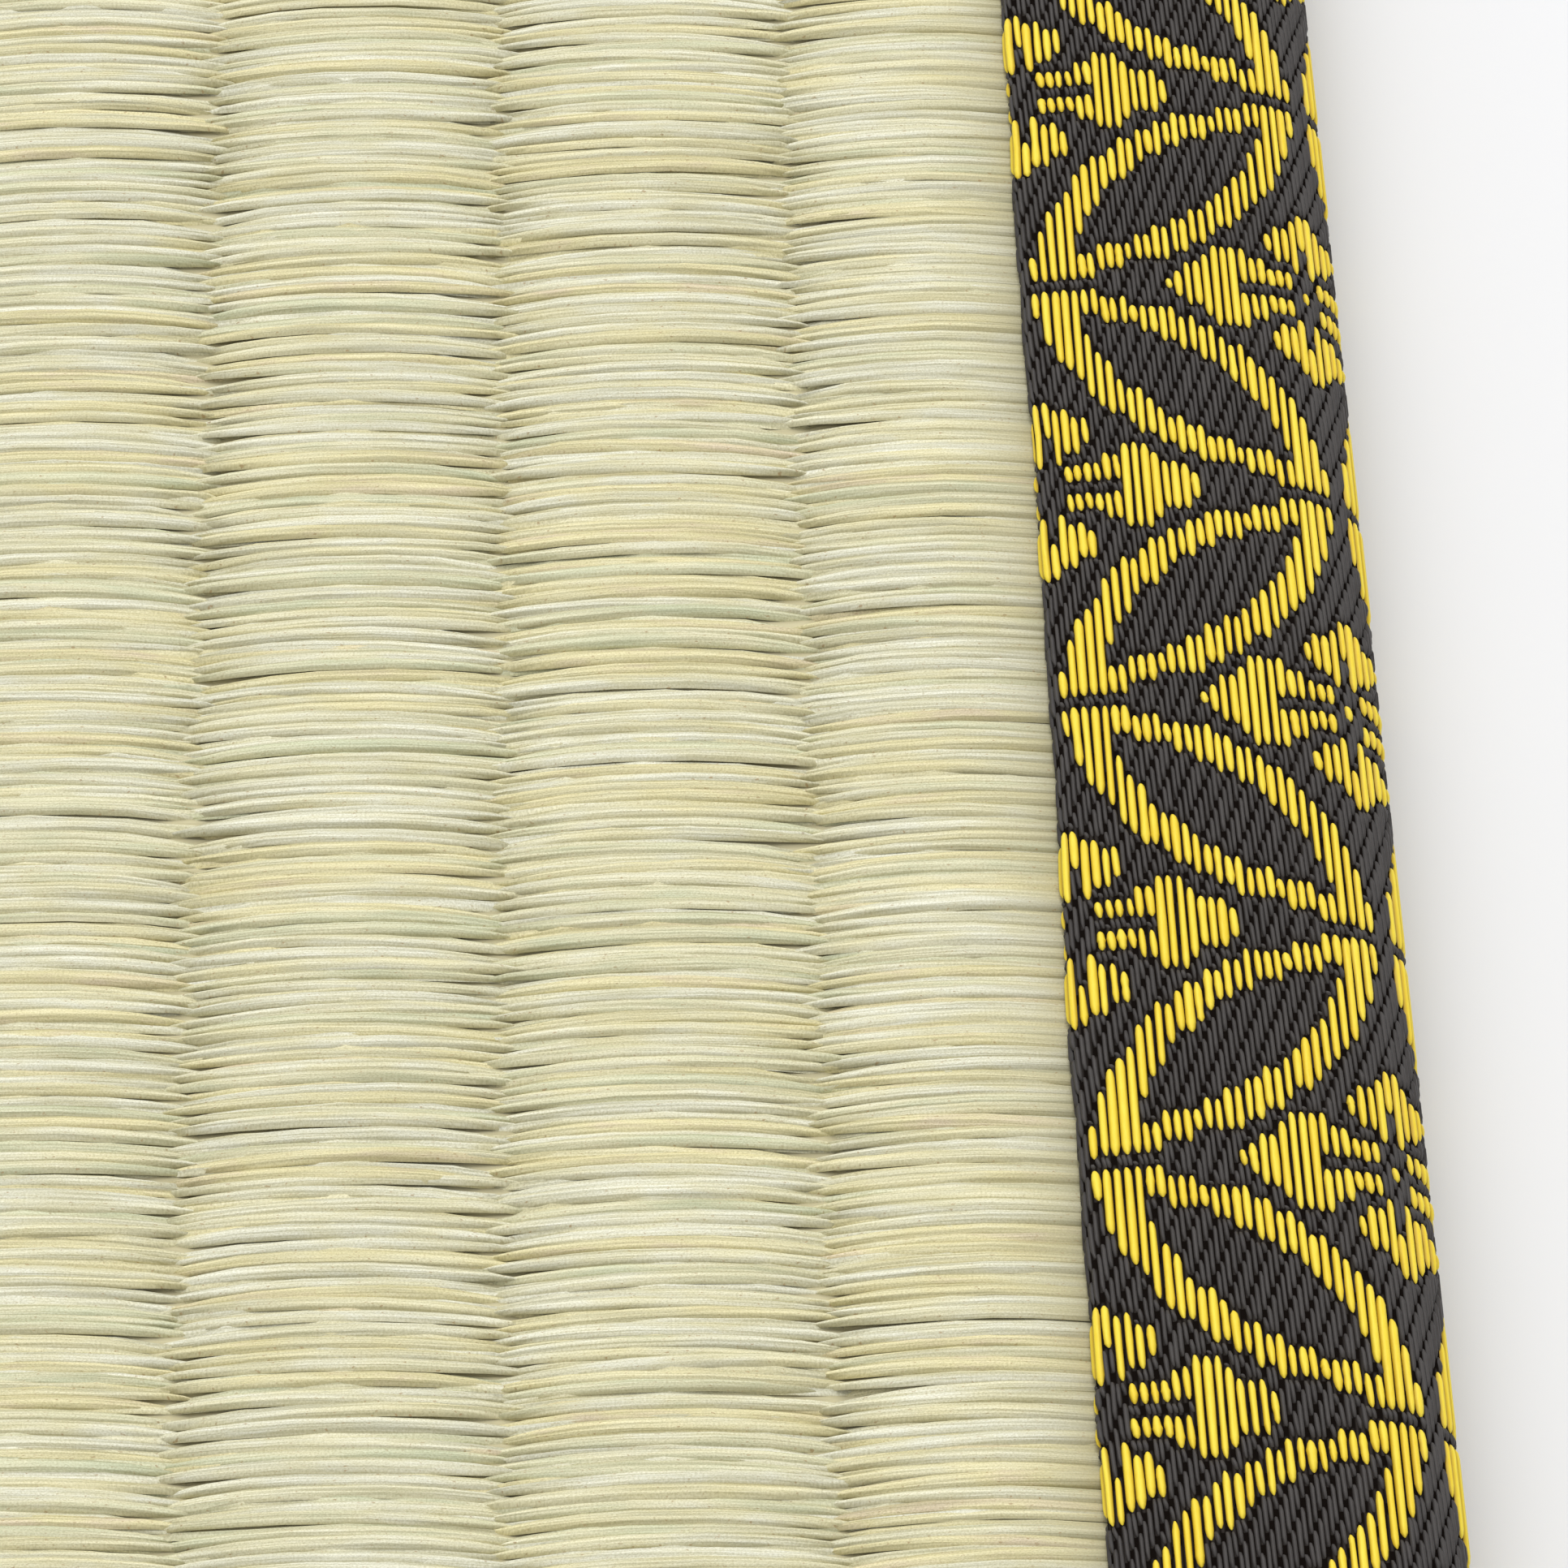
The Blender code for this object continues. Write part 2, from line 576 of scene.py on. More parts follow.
@dataclass(frozen=True)
class RushFinish:
    """Dried rush: pale straw stems, some greener, whiter or tan, with fine ribs along them. Painted shade
    darkens each stem towards its rims and the rush beside the bindings' folds.
    """

    name: str = "dried_rush"
    roughness: float = 0.52
    specular: float = 0.35
    green: Colour = (0.748, 0.784, 0.565)
    straw: Colour = (0.912, 0.871, 0.622)
    yellow: Colour = (0.922, 0.846, 0.515)
    pale: Colour = (0.950, 0.942, 0.800)
    tan: Colour = (0.868, 0.748, 0.550)
    speck: Colour = (0.360, 0.230, 0.100)
    # fold: the painted shade colour, laid at the stems' rims and beside the bindings' folds.
    fold: Colour = (0.420, 0.385, 0.235)
    fold_shade_reach: float = 0.0052
    fold_shade_share: float = 0.74
    rim_shade_share: float = 0.56
    rim_shade_power: float = 4.0
    speck_share: float = 0.7
    relief: float = 0.00005
    fine_relief: float = 0.4
    patches: Streak = Streak((0.16, 0.7, 1.0), 3.0, 0.6, 0.9, -0.45, 1.0)
    ribs: Streak = Streak((0.09, 5.6, 1.0), 2.0, 0.5, 3.6, -1.15, 0.65)
    fine: Streak = Streak((0.22, 15.0, 1.0), 1.0, 0.5, 2.8, -0.85, 0.82)
    grain: Streak = Streak((9.0, 15.0, 1.0), 2.0, 0.6, 3.2, -1.00, 0.72)
    specks: Streak = Streak((3.2, 8.0, 1.0), 2.0, 0.5, 12.0, -7.8, 1.0)

    def build(self) -> bpy.types.Material:
        """Build the material.

        Returns:
            The material.
        """
        bench = new_bench(self.name, self.roughness, self.specular)
        stem = bench.add("ShaderNodeUVMap", uv_map="stem").outputs[0]
        chance, _, rim = bench.chances()
        colour = self.stem_colour(bench, stem, chance)
        ribs = self.ribs.read(bench, stem)
        fine = self.fine.read(bench, stem)
        grain = self.grain.read(bench, stem)
        for streak, value in ((self.ribs, ribs), (self.fine, fine), (self.grain, grain)):
            shade = bench.mix(streak.share(bench, value), self.shade(streak.dark), (1, 1, 1, 1))
            colour = bench.mix(1.0, colour, shade, "MULTIPLY")
        # Painted shade: each stem darkens towards its rims, where the stems meet.
        rim_shade_weight = bench.math("POWER", rim, self.rim_shade_power)
        colour = bench.mix(bench.math("MULTIPLY", rim_shade_weight, self.rim_shade_share), colour, (*self.fold, 1.0))
        # Painted shade: the rush darkens near the bindings' folds, where the raised binding shades it.
        near_fold = bench.math("MULTIPLY", self.near_fold(bench), self.fold_shade_share)
        colour = bench.mix(near_fold, colour, (*self.fold, 1.0))
        specks = self.specks.share(bench, self.specks.read(bench, stem))
        bench.paint(bench.mix(bench.math("MULTIPLY", specks, self.speck_share), colour, (*self.speck, 1.0)))
        bench.bump(bench.math("ADD", ribs, bench.math("MULTIPLY", fine, self.fine_relief)), self.relief)
        return bench.material

    def stem_colour(
        self, bench: NodeBench, stem: bpy.types.NodeSocket, chance: bpy.types.NodeSocket
    ) -> bpy.types.NodeSocket:
        """Give a stem its own colour, which drifts a little along it.

        Args:
            bench: The material's bench.
            stem: The stem's own map.
            chance: The stem's random number.

        Returns:
            The colour's output.
        """
        patches = self.patches
        drift = bench.math("MULTIPLY_ADD", patches.read(bench, stem), patches.gain, patches.offset)
        own = bench.math("MULTIPLY_ADD", chance, 0.76, 0.12)
        return bench.ramp(
            bench.math("ADD", own, drift, clamp=True),
            [
                (0.00, self.green),
                (1.00, self.tan),
                (0.26, self.straw),
                (0.45, self.pale),
                (0.62, self.straw),
                (0.84, self.yellow),
            ],
        )

    def near_fold(self, bench: NodeBench) -> bpy.types.NodeSocket:
        """Give how near a point is to a binding's fold, from 0 to 1, for the painted shade there.

        Args:
            bench: The material's bench.

        Returns:
            The nearness, squared.
        """
        across = bench.split(bench.add("ShaderNodeTexCoord").outputs["Object"])[0]
        from_fold = bench.math("SUBTRACT", BINDING_INNER, bench.math("ABSOLUTE", across))
        near = bench.math("MULTIPLY_ADD", from_fold, -1 / self.fold_shade_reach, 1.0, clamp=True)
        return bench.math("MULTIPLY", near, near)

    @staticmethod
    def shade(value: float) -> tuple[float, float, float, float]:
        """Give a warm grey of one value."""
        return (value, value * 0.99, value * 0.90, 1.0)


@dataclass(frozen=True)
class FacingFinish:
    """The lower layer of the rush facing, seen in the gaps between stems: lower stems of varied tone,
    painted darker than the stems above as shade in the gaps.
    """

    name: str = "rush_under_layer"
    # Both tones are painted darker than the stems above, as shade in the gaps.
    colour: Colour = (0.660, 0.610, 0.400)
    deep: Colour = (0.500, 0.450, 0.280)
    stem_scale: tuple[float, float, float] = (60.0, 2400.0, 2400.0)
    relief: float = 0.0002

    def build(self) -> bpy.types.Material:
        """Build the material.

        Returns:
            The material.
        """
        bench = new_bench(self.name, 0.8, 0.2)
        place = bench.add("ShaderNodeTexCoord").outputs["Object"]
        stems = bench.noise(bench.stretched(place, self.stem_scale), 1.0, 2.0)
        bench.paint(bench.mix(stems, (*self.deep, 1.0), (*self.colour, 1.0)))
        bench.bump(stems, self.relief)
        return bench.material


@dataclass(frozen=True)
class ThreadFinish:
    """A binding thread: fine filaments along it, a soft gloss and painted shade in a deep colour at its
    edges.
    """

    name: str
    light: Colour
    dark: Colour
    # deep: the painted shade colour at the thread's edges.
    deep: Colour
    roughness: float
    specular: float
    filament_scale: tuple[float, float, float] = (1.4, 9.0, 1.0)
    thread_change: float = 0.35
    rim_shade_power: float = 3.0
    relief: float = 0.00002

    def build(self) -> bpy.types.Material:
        """Build the material.

        Returns:
            The material.
        """
        bench = new_bench(self.name, self.roughness, self.specular)
        along = bench.add("ShaderNodeUVMap", uv_map="thread").outputs[0]
        chance, _, rim = bench.chances()
        filaments = bench.noise(bench.stretched(along, self.filament_scale), 1.0, 2.0)
        share = bench.math("MULTIPLY_ADD", filaments, 0.9, -0.10)
        share = bench.math("MULTIPLY_ADD", chance, self.thread_change, share, clamp=True)
        colour = bench.mix(share, (*self.dark, 1.0), (*self.light, 1.0))
        # Painted shade: the thread darkens to its deep colour towards its edges.
        rim_shade_weight = bench.math("POWER", rim, self.rim_shade_power)
        bench.paint(bench.mix(rim_shade_weight, colour, (*self.deep, 1.0)))
        bench.bump(filaments, self.relief)
        return bench.material


YELLOW_THREAD = ThreadFinish(
    name="yellow_thread",
    light=(0.940, 0.790, 0.080),
    dark=(0.850, 0.590, 0.024),
    deep=(0.360, 0.190, 0.004),
    roughness=0.45,
    specular=0.25,
)
BLACK_THREAD = ThreadFinish(
    name="black_thread",
    light=(0.080, 0.072, 0.068),
    dark=(0.037, 0.032, 0.030),
    deep=(0.018, 0.015, 0.013),
    roughness=0.55,
    specular=0.30,
)


@dataclass(frozen=True)
class GroundFinish:
    """The binding cloth's ground: dark brown and black threads in a steep twill, painted darker as shade in
    the pits and along the threads' sides.
    """

    name: str = "binding_ground"
    thread: Colour = (0.040, 0.034, 0.030)
    pit_shade: Colour = (0.006, 0.004, 0.003)
    float_middle: float = 0.375
    pit_slope: float = 14.0
    pit_offset: float = -5.0
    relief: float = 0.00008

    def build(self) -> bpy.types.Material:
        """Build the material.

        Returns:
            The material.
        """
        bench = new_bench(self.name, 0.9, 0.03)
        cloth_across, cloth_along, _ = bench.split(bench.add("ShaderNodeUVMap", uv_map="cloth").outputs[0])
        column = bench.math("DIVIDE", cloth_across, COLUMN_PITCH / 2 / MM)
        across = bench.math("ABSOLUTE", bench.math("SUBTRACT", bench.math("FRACT", column), 0.5))
        lift = bench.math("MULTIPLY_ADD", bench.math("FLOOR", column), -TWILL_SHIFT, -TWILL_SHIFT)
        repeats = bench.math("DIVIDE", cloth_along, TWILL_REPEAT / MM)
        along = bench.math("FRACT", bench.math("ADD", repeats, lift))
        from_float = bench.math("ABSOLUTE", bench.math("SUBTRACT", along, self.float_middle))
        pit = bench.math("MULTIPLY_ADD", from_float, self.pit_slope, self.pit_offset, clamp=True)
        rounded = bench.math("SUBTRACT", 1.0, bench.math("MULTIPLY", across, 2.0))
        height = bench.math("MULTIPLY", rounded, bench.math("SUBTRACT", 1.0, pit), clamp=True)
        # Painted shade: the colour darkens with the weave's height, into the pits and the threads' sides.
        bench.paint(bench.mix(height, (*self.pit_shade, 1.0), (*self.thread, 1.0)))
        bench.bump(height, self.relief)
        return bench.material


@dataclass(frozen=True)
class BackingFinish:
    """The mat's plain backing: matted grey fibre."""

    name: str = "plain_backing"
    light: Colour = (0.30, 0.29, 0.26)
    dark: Colour = (0.20, 0.19, 0.17)
    fibre_scale: float = 1400.0
    relief: float = 0.0002

    def build(self) -> bpy.types.Material:
        """Build the material.

        Returns:
            The material.
        """
        bench = new_bench(self.name, 0.9, 0.2)
        place = bench.add("ShaderNodeTexCoord").outputs["Object"]
        fibre = bench.noise(place, self.fibre_scale, 5.0, 0.7)
        bench.paint(bench.mix(fibre, (*self.dark, 1.0), (*self.light, 1.0)))
        bench.bump(fibre, self.relief)
        return bench.material


@dataclass(frozen=True)
class FloorFinish:
    """The plain pale floor."""

    name: str = "pale_floor"
    colour: Colour = (0.818, 0.822, 0.838)
    grain_scale: float = 400.0
    relief: float = 0.00002

    def build(self) -> bpy.types.Material:
        """Build the material.

        Returns:
            The material.
        """
        bench = new_bench(self.name, 0.6, 0.2)
        bench.shader.inputs["Base Color"].default_value = (*self.colour, 1.0)
        place = bench.add("ShaderNodeTexCoord").outputs["Object"]
        bench.bump(bench.noise(place, self.grain_scale), self.relief)
        return bench.material


# Rush facing


@dataclass
class FacingPath:
    """The way the facing goes along Y: over the top, round the end edges and under."""

    straight: float = 0.4065
    top: float = FACING_TOP
    end: float = FACING_END
    upper: float = 0.0115
    lower: float = 0.0035
    underside: float = 0.0004
    reading_step: float = 0.00005
    steps: int = 8
    y: Array = field(init=False)
    z: Array = field(init=False)
    length: Array = field(init=False)

    def __post_init__(self) -> None:
        """Lay out the path's points and their distance along it."""
        turn = np.linspace(0.0, math.pi / 2, self.steps)
        reach = self.end - self.straight
        y_out = [self.straight + reach * np.sin(turn), self.straight + reach * np.cos(turn)]
        z_out = [
            self.upper + (self.top - self.upper) * np.cos(turn),
            self.lower - (self.lower - self.underside) * np.sin(turn),
        ]
        y_half = np.concatenate(y_out)
        z_half = np.concatenate(z_out)
        self.y = np.concatenate([-y_half[::-1], y_half])
        self.z = np.concatenate([z_half[::-1], z_half])
        run = np.hypot(np.diff(self.y), np.diff(self.z))
        along = np.concatenate([[0.0], np.cumsum(run)])
        self.length = along - along[-1] / 2

    def at(self, along: Array) -> tuple[Array, Array, Array, Array]:
        """Give the place and the outward direction at distances along the path.

        Args:
            along: Distances from the mat's middle.

        Returns:
            Y, Z, and the Y and Z parts of the outward direction.
        """
        return follow(along, self.length, self.y, self.z, self.reading_step)


@dataclass(frozen=True)
class StemGrid:
    """Where the points of a stem lie: along it, and across it from -1 to 1."""

    ends: tuple[float, ...]
    across: tuple[float, ...]


STEM_GRIDS = {
    Stretch.CLOSE: StemGrid(
        ends=(-1.0, -0.92, -0.82, -0.66, -0.45, -0.20, 0.20, 0.45, 0.66, 0.82, 0.92, 1.0),
        across=(-1.0, -0.68, 0.0, 0.68, 1.0),
    ),
    Stretch.UNDER: StemGrid(ends=(-1.0, -0.85, -0.5, 0.0, 0.5, 0.85, 1.0), across=(-1.0, 0.0, 1.0)),
    Stretch.PLAIN: StemGrid(ends=(-1.0, -0.80, 0.0, 0.80, 1.0), across=(-1.0, 1.0)),
}


@dataclass
class RushFacing:
    """The woven rush facing: its stems, and the layer that shows between them."""

    pitch: float = BAND_PITCH
    count: int = BAND_COUNT
    stem_pitch: float = 0.000345
    arch: float = 15.4
    tip_reach: float = 0.0015
    tip_change: tuple[float, float] = (0.6, 1.6)
    tip_dive: float = 0.00008
    dive_from: float = 0.0068
    dive_over: float = 0.0020
    bunching: float = 0.00015
    shift: float = 0.0004
    under_sunk: float = 0.00012
    edge_dip: float = 0.00016
    dip_reach: float = 0.0050
    tuck: float = 0.0050
    plain_lean: float = 0.40
    plain_spread: float = 1.12
    plain_lift: float = 0.6
    plain_rim: float = 0.0
    gap_change: float = 0.30
    overlap: tuple[float, float] = (1.10, 1.30)
    place_change: float = 0.00007
    lift_change: float = 0.000035
    tilt_change: float = 0.13
    tip_lift_change: float = 0.00011
    tip_lift_from: float = 0.0045
    tip_lift_over: float = 0.0030
    bunch_lengths: tuple[float, float, float] = (0.0019, 0.0093, 0.0147)
    wander: float = 0.00004
    wander_length: float = 0.006
    sunk: float = 0.00030
    slim_at: tuple[float, ...] = (0.0, 0.0006, 0.0013, 0.0026, 0.0042, 0.0060)
    slim: tuple[float, ...] = (0.04, 0.20, 0.36, 0.64, 0.87, 1.0)
    bulge_at: tuple[float, ...] = (0.0, 0.0013, 0.0046)
    bulge: tuple[float, ...] = (0.46, 0.42, 0.34)
    bulge_change: tuple[float, float] = (0.8, 1.15)
    layer_sunk: float = 0.00044
    layer_arch: float = 0.00100
    layer_under_binding: float = 0.0019
    layer_steps: int = 6
    layer_reach: float = 0.3950
    edge: float = 0.3952
    close_bands: tuple[int, int] = (48, 53)
    close_span: tuple[float, float] = (-0.057, 0.066)
    groups: int = 6
    path: FacingPath = field(default_factory=FacingPath)
    seed: int = 7

    def boundary(self, index: Array) -> Array:
        """Give the place along X of a line between bands."""
        return (index - self.count / 2) * self.pitch + self.shift

    def drop(self, across: Array) -> Array:
        """How far a stem lies below its band's crest, at a distance from the band's middle.

        Args:
            across: Distances along X from the band's middle.

        Returns:
            The drops.
        """
        late = np.maximum(0.0, np.abs(across) - self.dive_from) / self.dive_over
        return self.arch * across**2 + self.tip_dive * late**1.5

    def dip(self, x: Array) -> Array:
        """How far the facing is pressed down towards the bindings, at places along X."""
        return self.edge_dip * smooth_step((np.abs(x) - BINDING_INNER) / self.dip_reach + 1.0)

    def lay_stems(self, rng: np.random.Generator) -> Table:
        """Lay out every visible run of a stem.

        Args:
            rng: The random numbers to draw from.

        Returns:
            The stems' table: band, layer, place, width, lift, tilt, shifts at both ends, random numbers.
        """
        reach = self.path.length[-1]
        count = int(2 * reach / self.stem_pitch)
        gaps = 1.0 + rng.uniform(-self.gap_change, self.gap_change, count)
        places = np.cumsum(gaps)
        places = (places / places[-1] - 0.5) * 2 * reach
        numbers = np.arange(2, count - 2)
        shifts = rng.normal(0.0, self.place_change, (self.count + 1, count))
        shifts += self.bunch(places, rng)
        layers = [(band, 0) for band in range(self.count)]
        layers += [(band, 1) for band in range(*self.close_bands)]
        runs = []
        for band, under in layers:
            shown = numbers[(numbers + under) % 2 == band % 2]
            near = (places[shown + 2] - places[shown - 2]) / 2
            total = len(shown)
            runs.append(
                {
                    "band": np.full(total, float(band)),
                    "under": np.full(total, float(under)),
                    "place": places[shown],
                    "width": near * rng.uniform(*self.overlap, total),
                    "lift": rng.normal(0.0, self.lift_change, total),
                    "tilt": rng.normal(0.0, self.tilt_change, total),
                    "start": shifts[band, shown],
                    "end": shifts[band + 1, shown],
                    "start_lift": rng.normal(0.0, self.tip_lift_change, total),
                    "end_lift": rng.normal(0.0, self.tip_lift_change, total),
                    "shade": rng.uniform(0.0, 1.0, total),
                    "map_along": rng.uniform(0.0, 1.0, total),
                    "map_across": rng.uniform(0.0, 1.0, total),
                }
            )
        return {name: np.concatenate([run[name] for run in runs]) for name in runs[0]}

    def bunch(self, places: Array, rng: np.random.Generator) -> Array:
        """Draw stems together where they dive between those of the next band.

        Args:
            places: Places of the stems along the facing.
            rng: The random numbers to draw from.

        Returns:
            Shifts, one row for each line between bands.
        """
        sign = np.where(np.arange(len(places)) % 2 == 0, 1.0, -1.0)
        bunch_turns, drift_turns, size_turns = (places / long * 2 * math.pi for long in self.bunch_lengths)
        rows = []
        for _ in range(self.count + 1):
            turn = rng.uniform(0, 2 * math.pi, 3)
            phase = bunch_turns + turn[0] + 2.2 * np.sin(drift_turns + turn[1])
            size = self.bunching * (1 + 0.6 * np.sin(size_turns + turn[2]))
            rows.append(sign * size * np.sin(phase))
        return np.array(rows)

    def is_close(self, stems: Table) -> Array:
        """Tell which stems lie in the stretch that is made finely.

        Args:
            stems: The table of stems.

        Returns:
            True for each stem in that stretch.
        """
        in_bands = (stems["band"] >= self.close_bands[0]) & (stems["band"] < self.close_bands[1])
        in_span = (stems["place"] > self.close_span[0]) & (stems["place"] < self.close_span[1])
        return in_bands & in_span

    def make_stems(
        self, name: str, stems: Table, stretch: Stretch, rng: np.random.Generator
    ) -> bpy.types.Object:
        """Make one mesh of stems.

        Args:
            name: The piece's name.
            stems: The table of stems in it.
            stretch: How finely they are made.
            rng: The random numbers to draw from.

        Returns:
            The piece.
        """
        grid = STEM_GRIDS[stretch]
        ends = np.array(grid.ends)
        across = np.array(grid.across)
        is_plain = stretch is Stretch.PLAIN
        total = len(stems["band"])
        column = {fact: values[:, None] for fact, values in stems.items()}
        x, to_end = self.stem_reach(stems, ends, rng)
        middle = (self.boundary(column["band"]) + self.boundary(column["band"] + 1)) / 2
        from_middle = x - middle
        width = column["width"] * np.interp(to_end, self.slim_at, self.slim)
        if is_plain:
            width = width * self.plain_spread
        height = column["width"] * np.interp(to_end, self.bulge_at, self.bulge)
        height = height * rng.uniform(*self.bulge_change, total)[:, None]
        share = smooth_step(from_middle / self.pitch + 0.5)
        shift = column["start"] * (1 - share) + column["end"] * share
        wander = self.wander * np.sin(x / self.wander_length + column["map_along"] * 40)
        y, z, out_y, out_z = self.path.at(column["place"] + shift + wander)
        level = column["lift"] - self.drop(from_middle)
        near_tip = smooth_step((np.abs(from_middle) - self.tip_lift_from) / self.tip_lift_over)
        level += near_tip * np.where(from_middle < 0, column["start_lift"], column["end_lift"])
        level -= self.under_sunk * column["under"]
        level -= self.dip(x)
        side = across[None, None, :] * width[:, :, None] / 2
        swell = np.sqrt(np.maximum(0.0, 1 - across**2))[None, None, :] * height[:, :, None]
        tilt = stems["tilt"]
        if is_plain:
            swell = swell + self.plain_lift * height[:, :, None]
            tilt = tilt + np.where(np.arange(total) % 2 == 0, self.plain_lean, -self.plain_lean)
        tilt = tilt[:, None, None]
        rise = swell * np.cos(tilt) + side * np.sin(tilt) + level[:, :, None] - self.sunk
        side = side * np.cos(tilt) - swell * np.sin(tilt)
        point_x = np.broadcast_to(x[:, :, None], side.shape)
        point_y = y[:, :, None] + side * out_z[:, :, None] + rise * out_y[:, :, None]
        point_z = z[:, :, None] - side * out_y[:, :, None] + rise * out_z[:, :, None]
        spindle = Spindle(len(ends) - 2, len(across))
        points = spindle.gather(np.stack([point_x, point_y, point_z], axis=-1))
        piece = mesh_piece(name, points, spindle.faces(total, flip=False))
        self.map_stems(piece.data, stems, x, across, width)
        return piece

    def stem_reach(
        self, stems: Table, ends: Array, rng: np.random.Generator
    ) -> tuple[Array, Array]:
        """Work out how far along X each stem reaches.

        Args:
            stems: The table of stems.
            ends: Places of the points along a stem, from -1 to 1.
            rng: The random numbers to draw from.

        Returns:
            Places along X and distances to the nearer tip, for each stem and point.
        """
        total = len(stems["band"])
        left = self.boundary(stems["band"]) - self.tip_reach * rng.uniform(*self.tip_change, total)
        right = self.boundary(stems["band"] + 1) + self.tip_reach * rng.uniform(*self.tip_change, total)
        left -= self.tuck * (stems["band"] == 0)
        right += self.tuck * (stems["band"] == self.count - 1)
        shown_left = np.maximum(left, -self.edge)[:, None]
        shown_right = np.minimum(right, self.edge)[:, None]
        x = (shown_left * (1 - ends) + shown_right * (1 + ends)) / 2
        x = np.clip(x, shown_left, shown_right)
        return x, np.minimum(x - left[:, None], right[:, None] - x)

    def map_stems(
        self, mesh: bpy.types.Mesh, stems: Table, x: Array, across: Array, width: Array
    ) -> None:
        """Give the stems their two UV maps and their random numbers.

        Args:
            mesh: The stems' mesh.
            stems: The table of stems.
            x: Places along X, for each stem and row.
            across: Places across a stem, from -1 to 1.
            width: Widths, for each stem and row.
        """
        grid = (*x.shape, len(across))
        spindle = Spindle(x.shape[1] - 2, len(across))
        along_mm = (x / MM)[:, :, None] + (stems["map_along"] * 900)[:, None, None]
        from_middle_mm = across[None, None, :] * width[:, :, None] / MM / 2
        across_mm = from_middle_mm + (stems["map_across"] * 700)[:, None, None]
        stem = np.stack([np.broadcast_to(along_mm, grid), across_mm], axis=-1)
        add_uv(mesh, "stem", spindle.gather(stem))
        cells = BakeCells(stretch=9, margin=0.04, reach=0.40)
        add_uv(mesh, "OFBake", spindle.gather(cells.lay_out(x, across)))
        chance = np.stack([stems["shade"], stems["map_along"], stems["map_across"]], axis=-1)
        add_chance(mesh, spindle.facts(chance, across, self.plain_rim))

    def make_under_layer(self) -> bpy.types.Object:
        """Make the sheet that shows between the stems, from a grid laid along the path.

        Returns:
            The sheet.
        """
        deselect_all()
        columns = self.count * self.layer_steps
        rows = len(self.path.length) - 1
        bpy.ops.mesh.primitive_grid_add(x_subdivisions=columns, y_subdivisions=rows, size=2.0)
        piece = bpy.context.active_object
        piece.name = piece.data.name = "rush_facing"
        mesh = piece.data
        points = np.zeros(len(mesh.vertices) * 3, np.float32)
        mesh.vertices.foreach_get("co", points)
        points = points.reshape(-1, 3)
        x = points[:, 0] * self.layer_reach
        row = np.clip(np.rint((points[:, 1] + 1) / 2 * rows).astype(int), 0, rows)
        along = self.path.length[row]
        y, z, out_y, out_z = self.path.at(along)
        from_middle = ((x - self.shift) / self.pitch + 0.5) % 1.0 - 0.5
        sunk = self.layer_sunk + self.layer_arch * (2 * from_middle) ** 2 + self.dip(x)
        sunk = np.where(np.abs(x) > self.edge, self.layer_under_binding, sunk)
        low = np.maximum(self.path.underside, z - sunk * out_z)
        placed = np.stack([x, y - sunk * out_y, low], axis=-1)
        mesh.vertices.foreach_set("co", placed.astype(np.float32).reshape(-1))
        mesh.update()
        add_uv(mesh, "OFBake", np.stack([(points[:, 0] + 1) / 2, (row / rows)], axis=-1))
        return piece

    def build(self) -> list[bpy.types.Object]:
        """Build the facing and dress it.

        Returns:
            Every piece of it, the under layer first.
        """
        rng = np.random.default_rng(self.seed)
        stems = self.lay_stems(rng)
        close = self.is_close(stems)
        finish = RushFinish().build()
        under = self.make_under_layer()
        under.data.materials.clear()
        under.data.materials.append(FacingFinish().build())
        pieces = [under]
        is_under = stems["under"] > 0
        nearby = keep_rows(stems, close & ~is_under)
        pieces.append(self.make_stems("rush_stems_right_front", nearby, Stretch.CLOSE, rng))
        sunk = keep_rows(stems, close & is_under)
        pieces.append(self.make_stems("rush_stems_under", sunk, Stretch.UNDER, rng))
        far = keep_rows(stems, ~close & ~is_under)
        group = (far["band"] * self.groups / self.count).astype(int)
        for number in range(self.groups):
            part = keep_rows(far, group == number)
            pieces.append(self.make_stems(f"rush_stems_{number + 1}", part, Stretch.PLAIN, rng))
        for piece in pieces[1:]:
            piece.data.materials.append(finish)
        return pieces


# Board under the facing


@dataclass
class BackingBoard:
    """The light board under the facing, with its plain backing."""

    half_width: float = 0.4080
    half_length: float = 0.4072
    low: float = 0.0005
    high: float = 0.0120
    rounding: float = 0.0020

    def build(self) -> bpy.types.Object:
        """Build the board from a cube with rounded edges.

        Returns:
            The board.
        """
        deselect_all()
        middle = (self.low + self.high) / 2
        bpy.ops.mesh.primitive_cube_add(size=2.0, location=(0.0, 0.0, middle))
        piece = bpy.context.active_object
        piece.name = piece.data.name = "mat_board"
        piece.scale = (self.half_width, self.half_length, (self.high - self.low) / 2)
        bpy.ops.object.transform_apply(location=True, rotation=True, scale=True)
        bpy.ops.object.mode_set(mode="EDIT")
        bpy.ops.mesh.select_all(action="SELECT")
        bpy.ops.mesh.bevel(offset=self.rounding, segments=3, profile=0.5, affect="EDGES")
        bpy.ops.object.mode_set(mode="OBJECT")
        bpy.ops.object.shade_smooth_by_angle(angle=math.radians(40))
        piece.data.materials.append(BackingFinish().build())
        return piece


# Binding

NOWHERE = 9.0


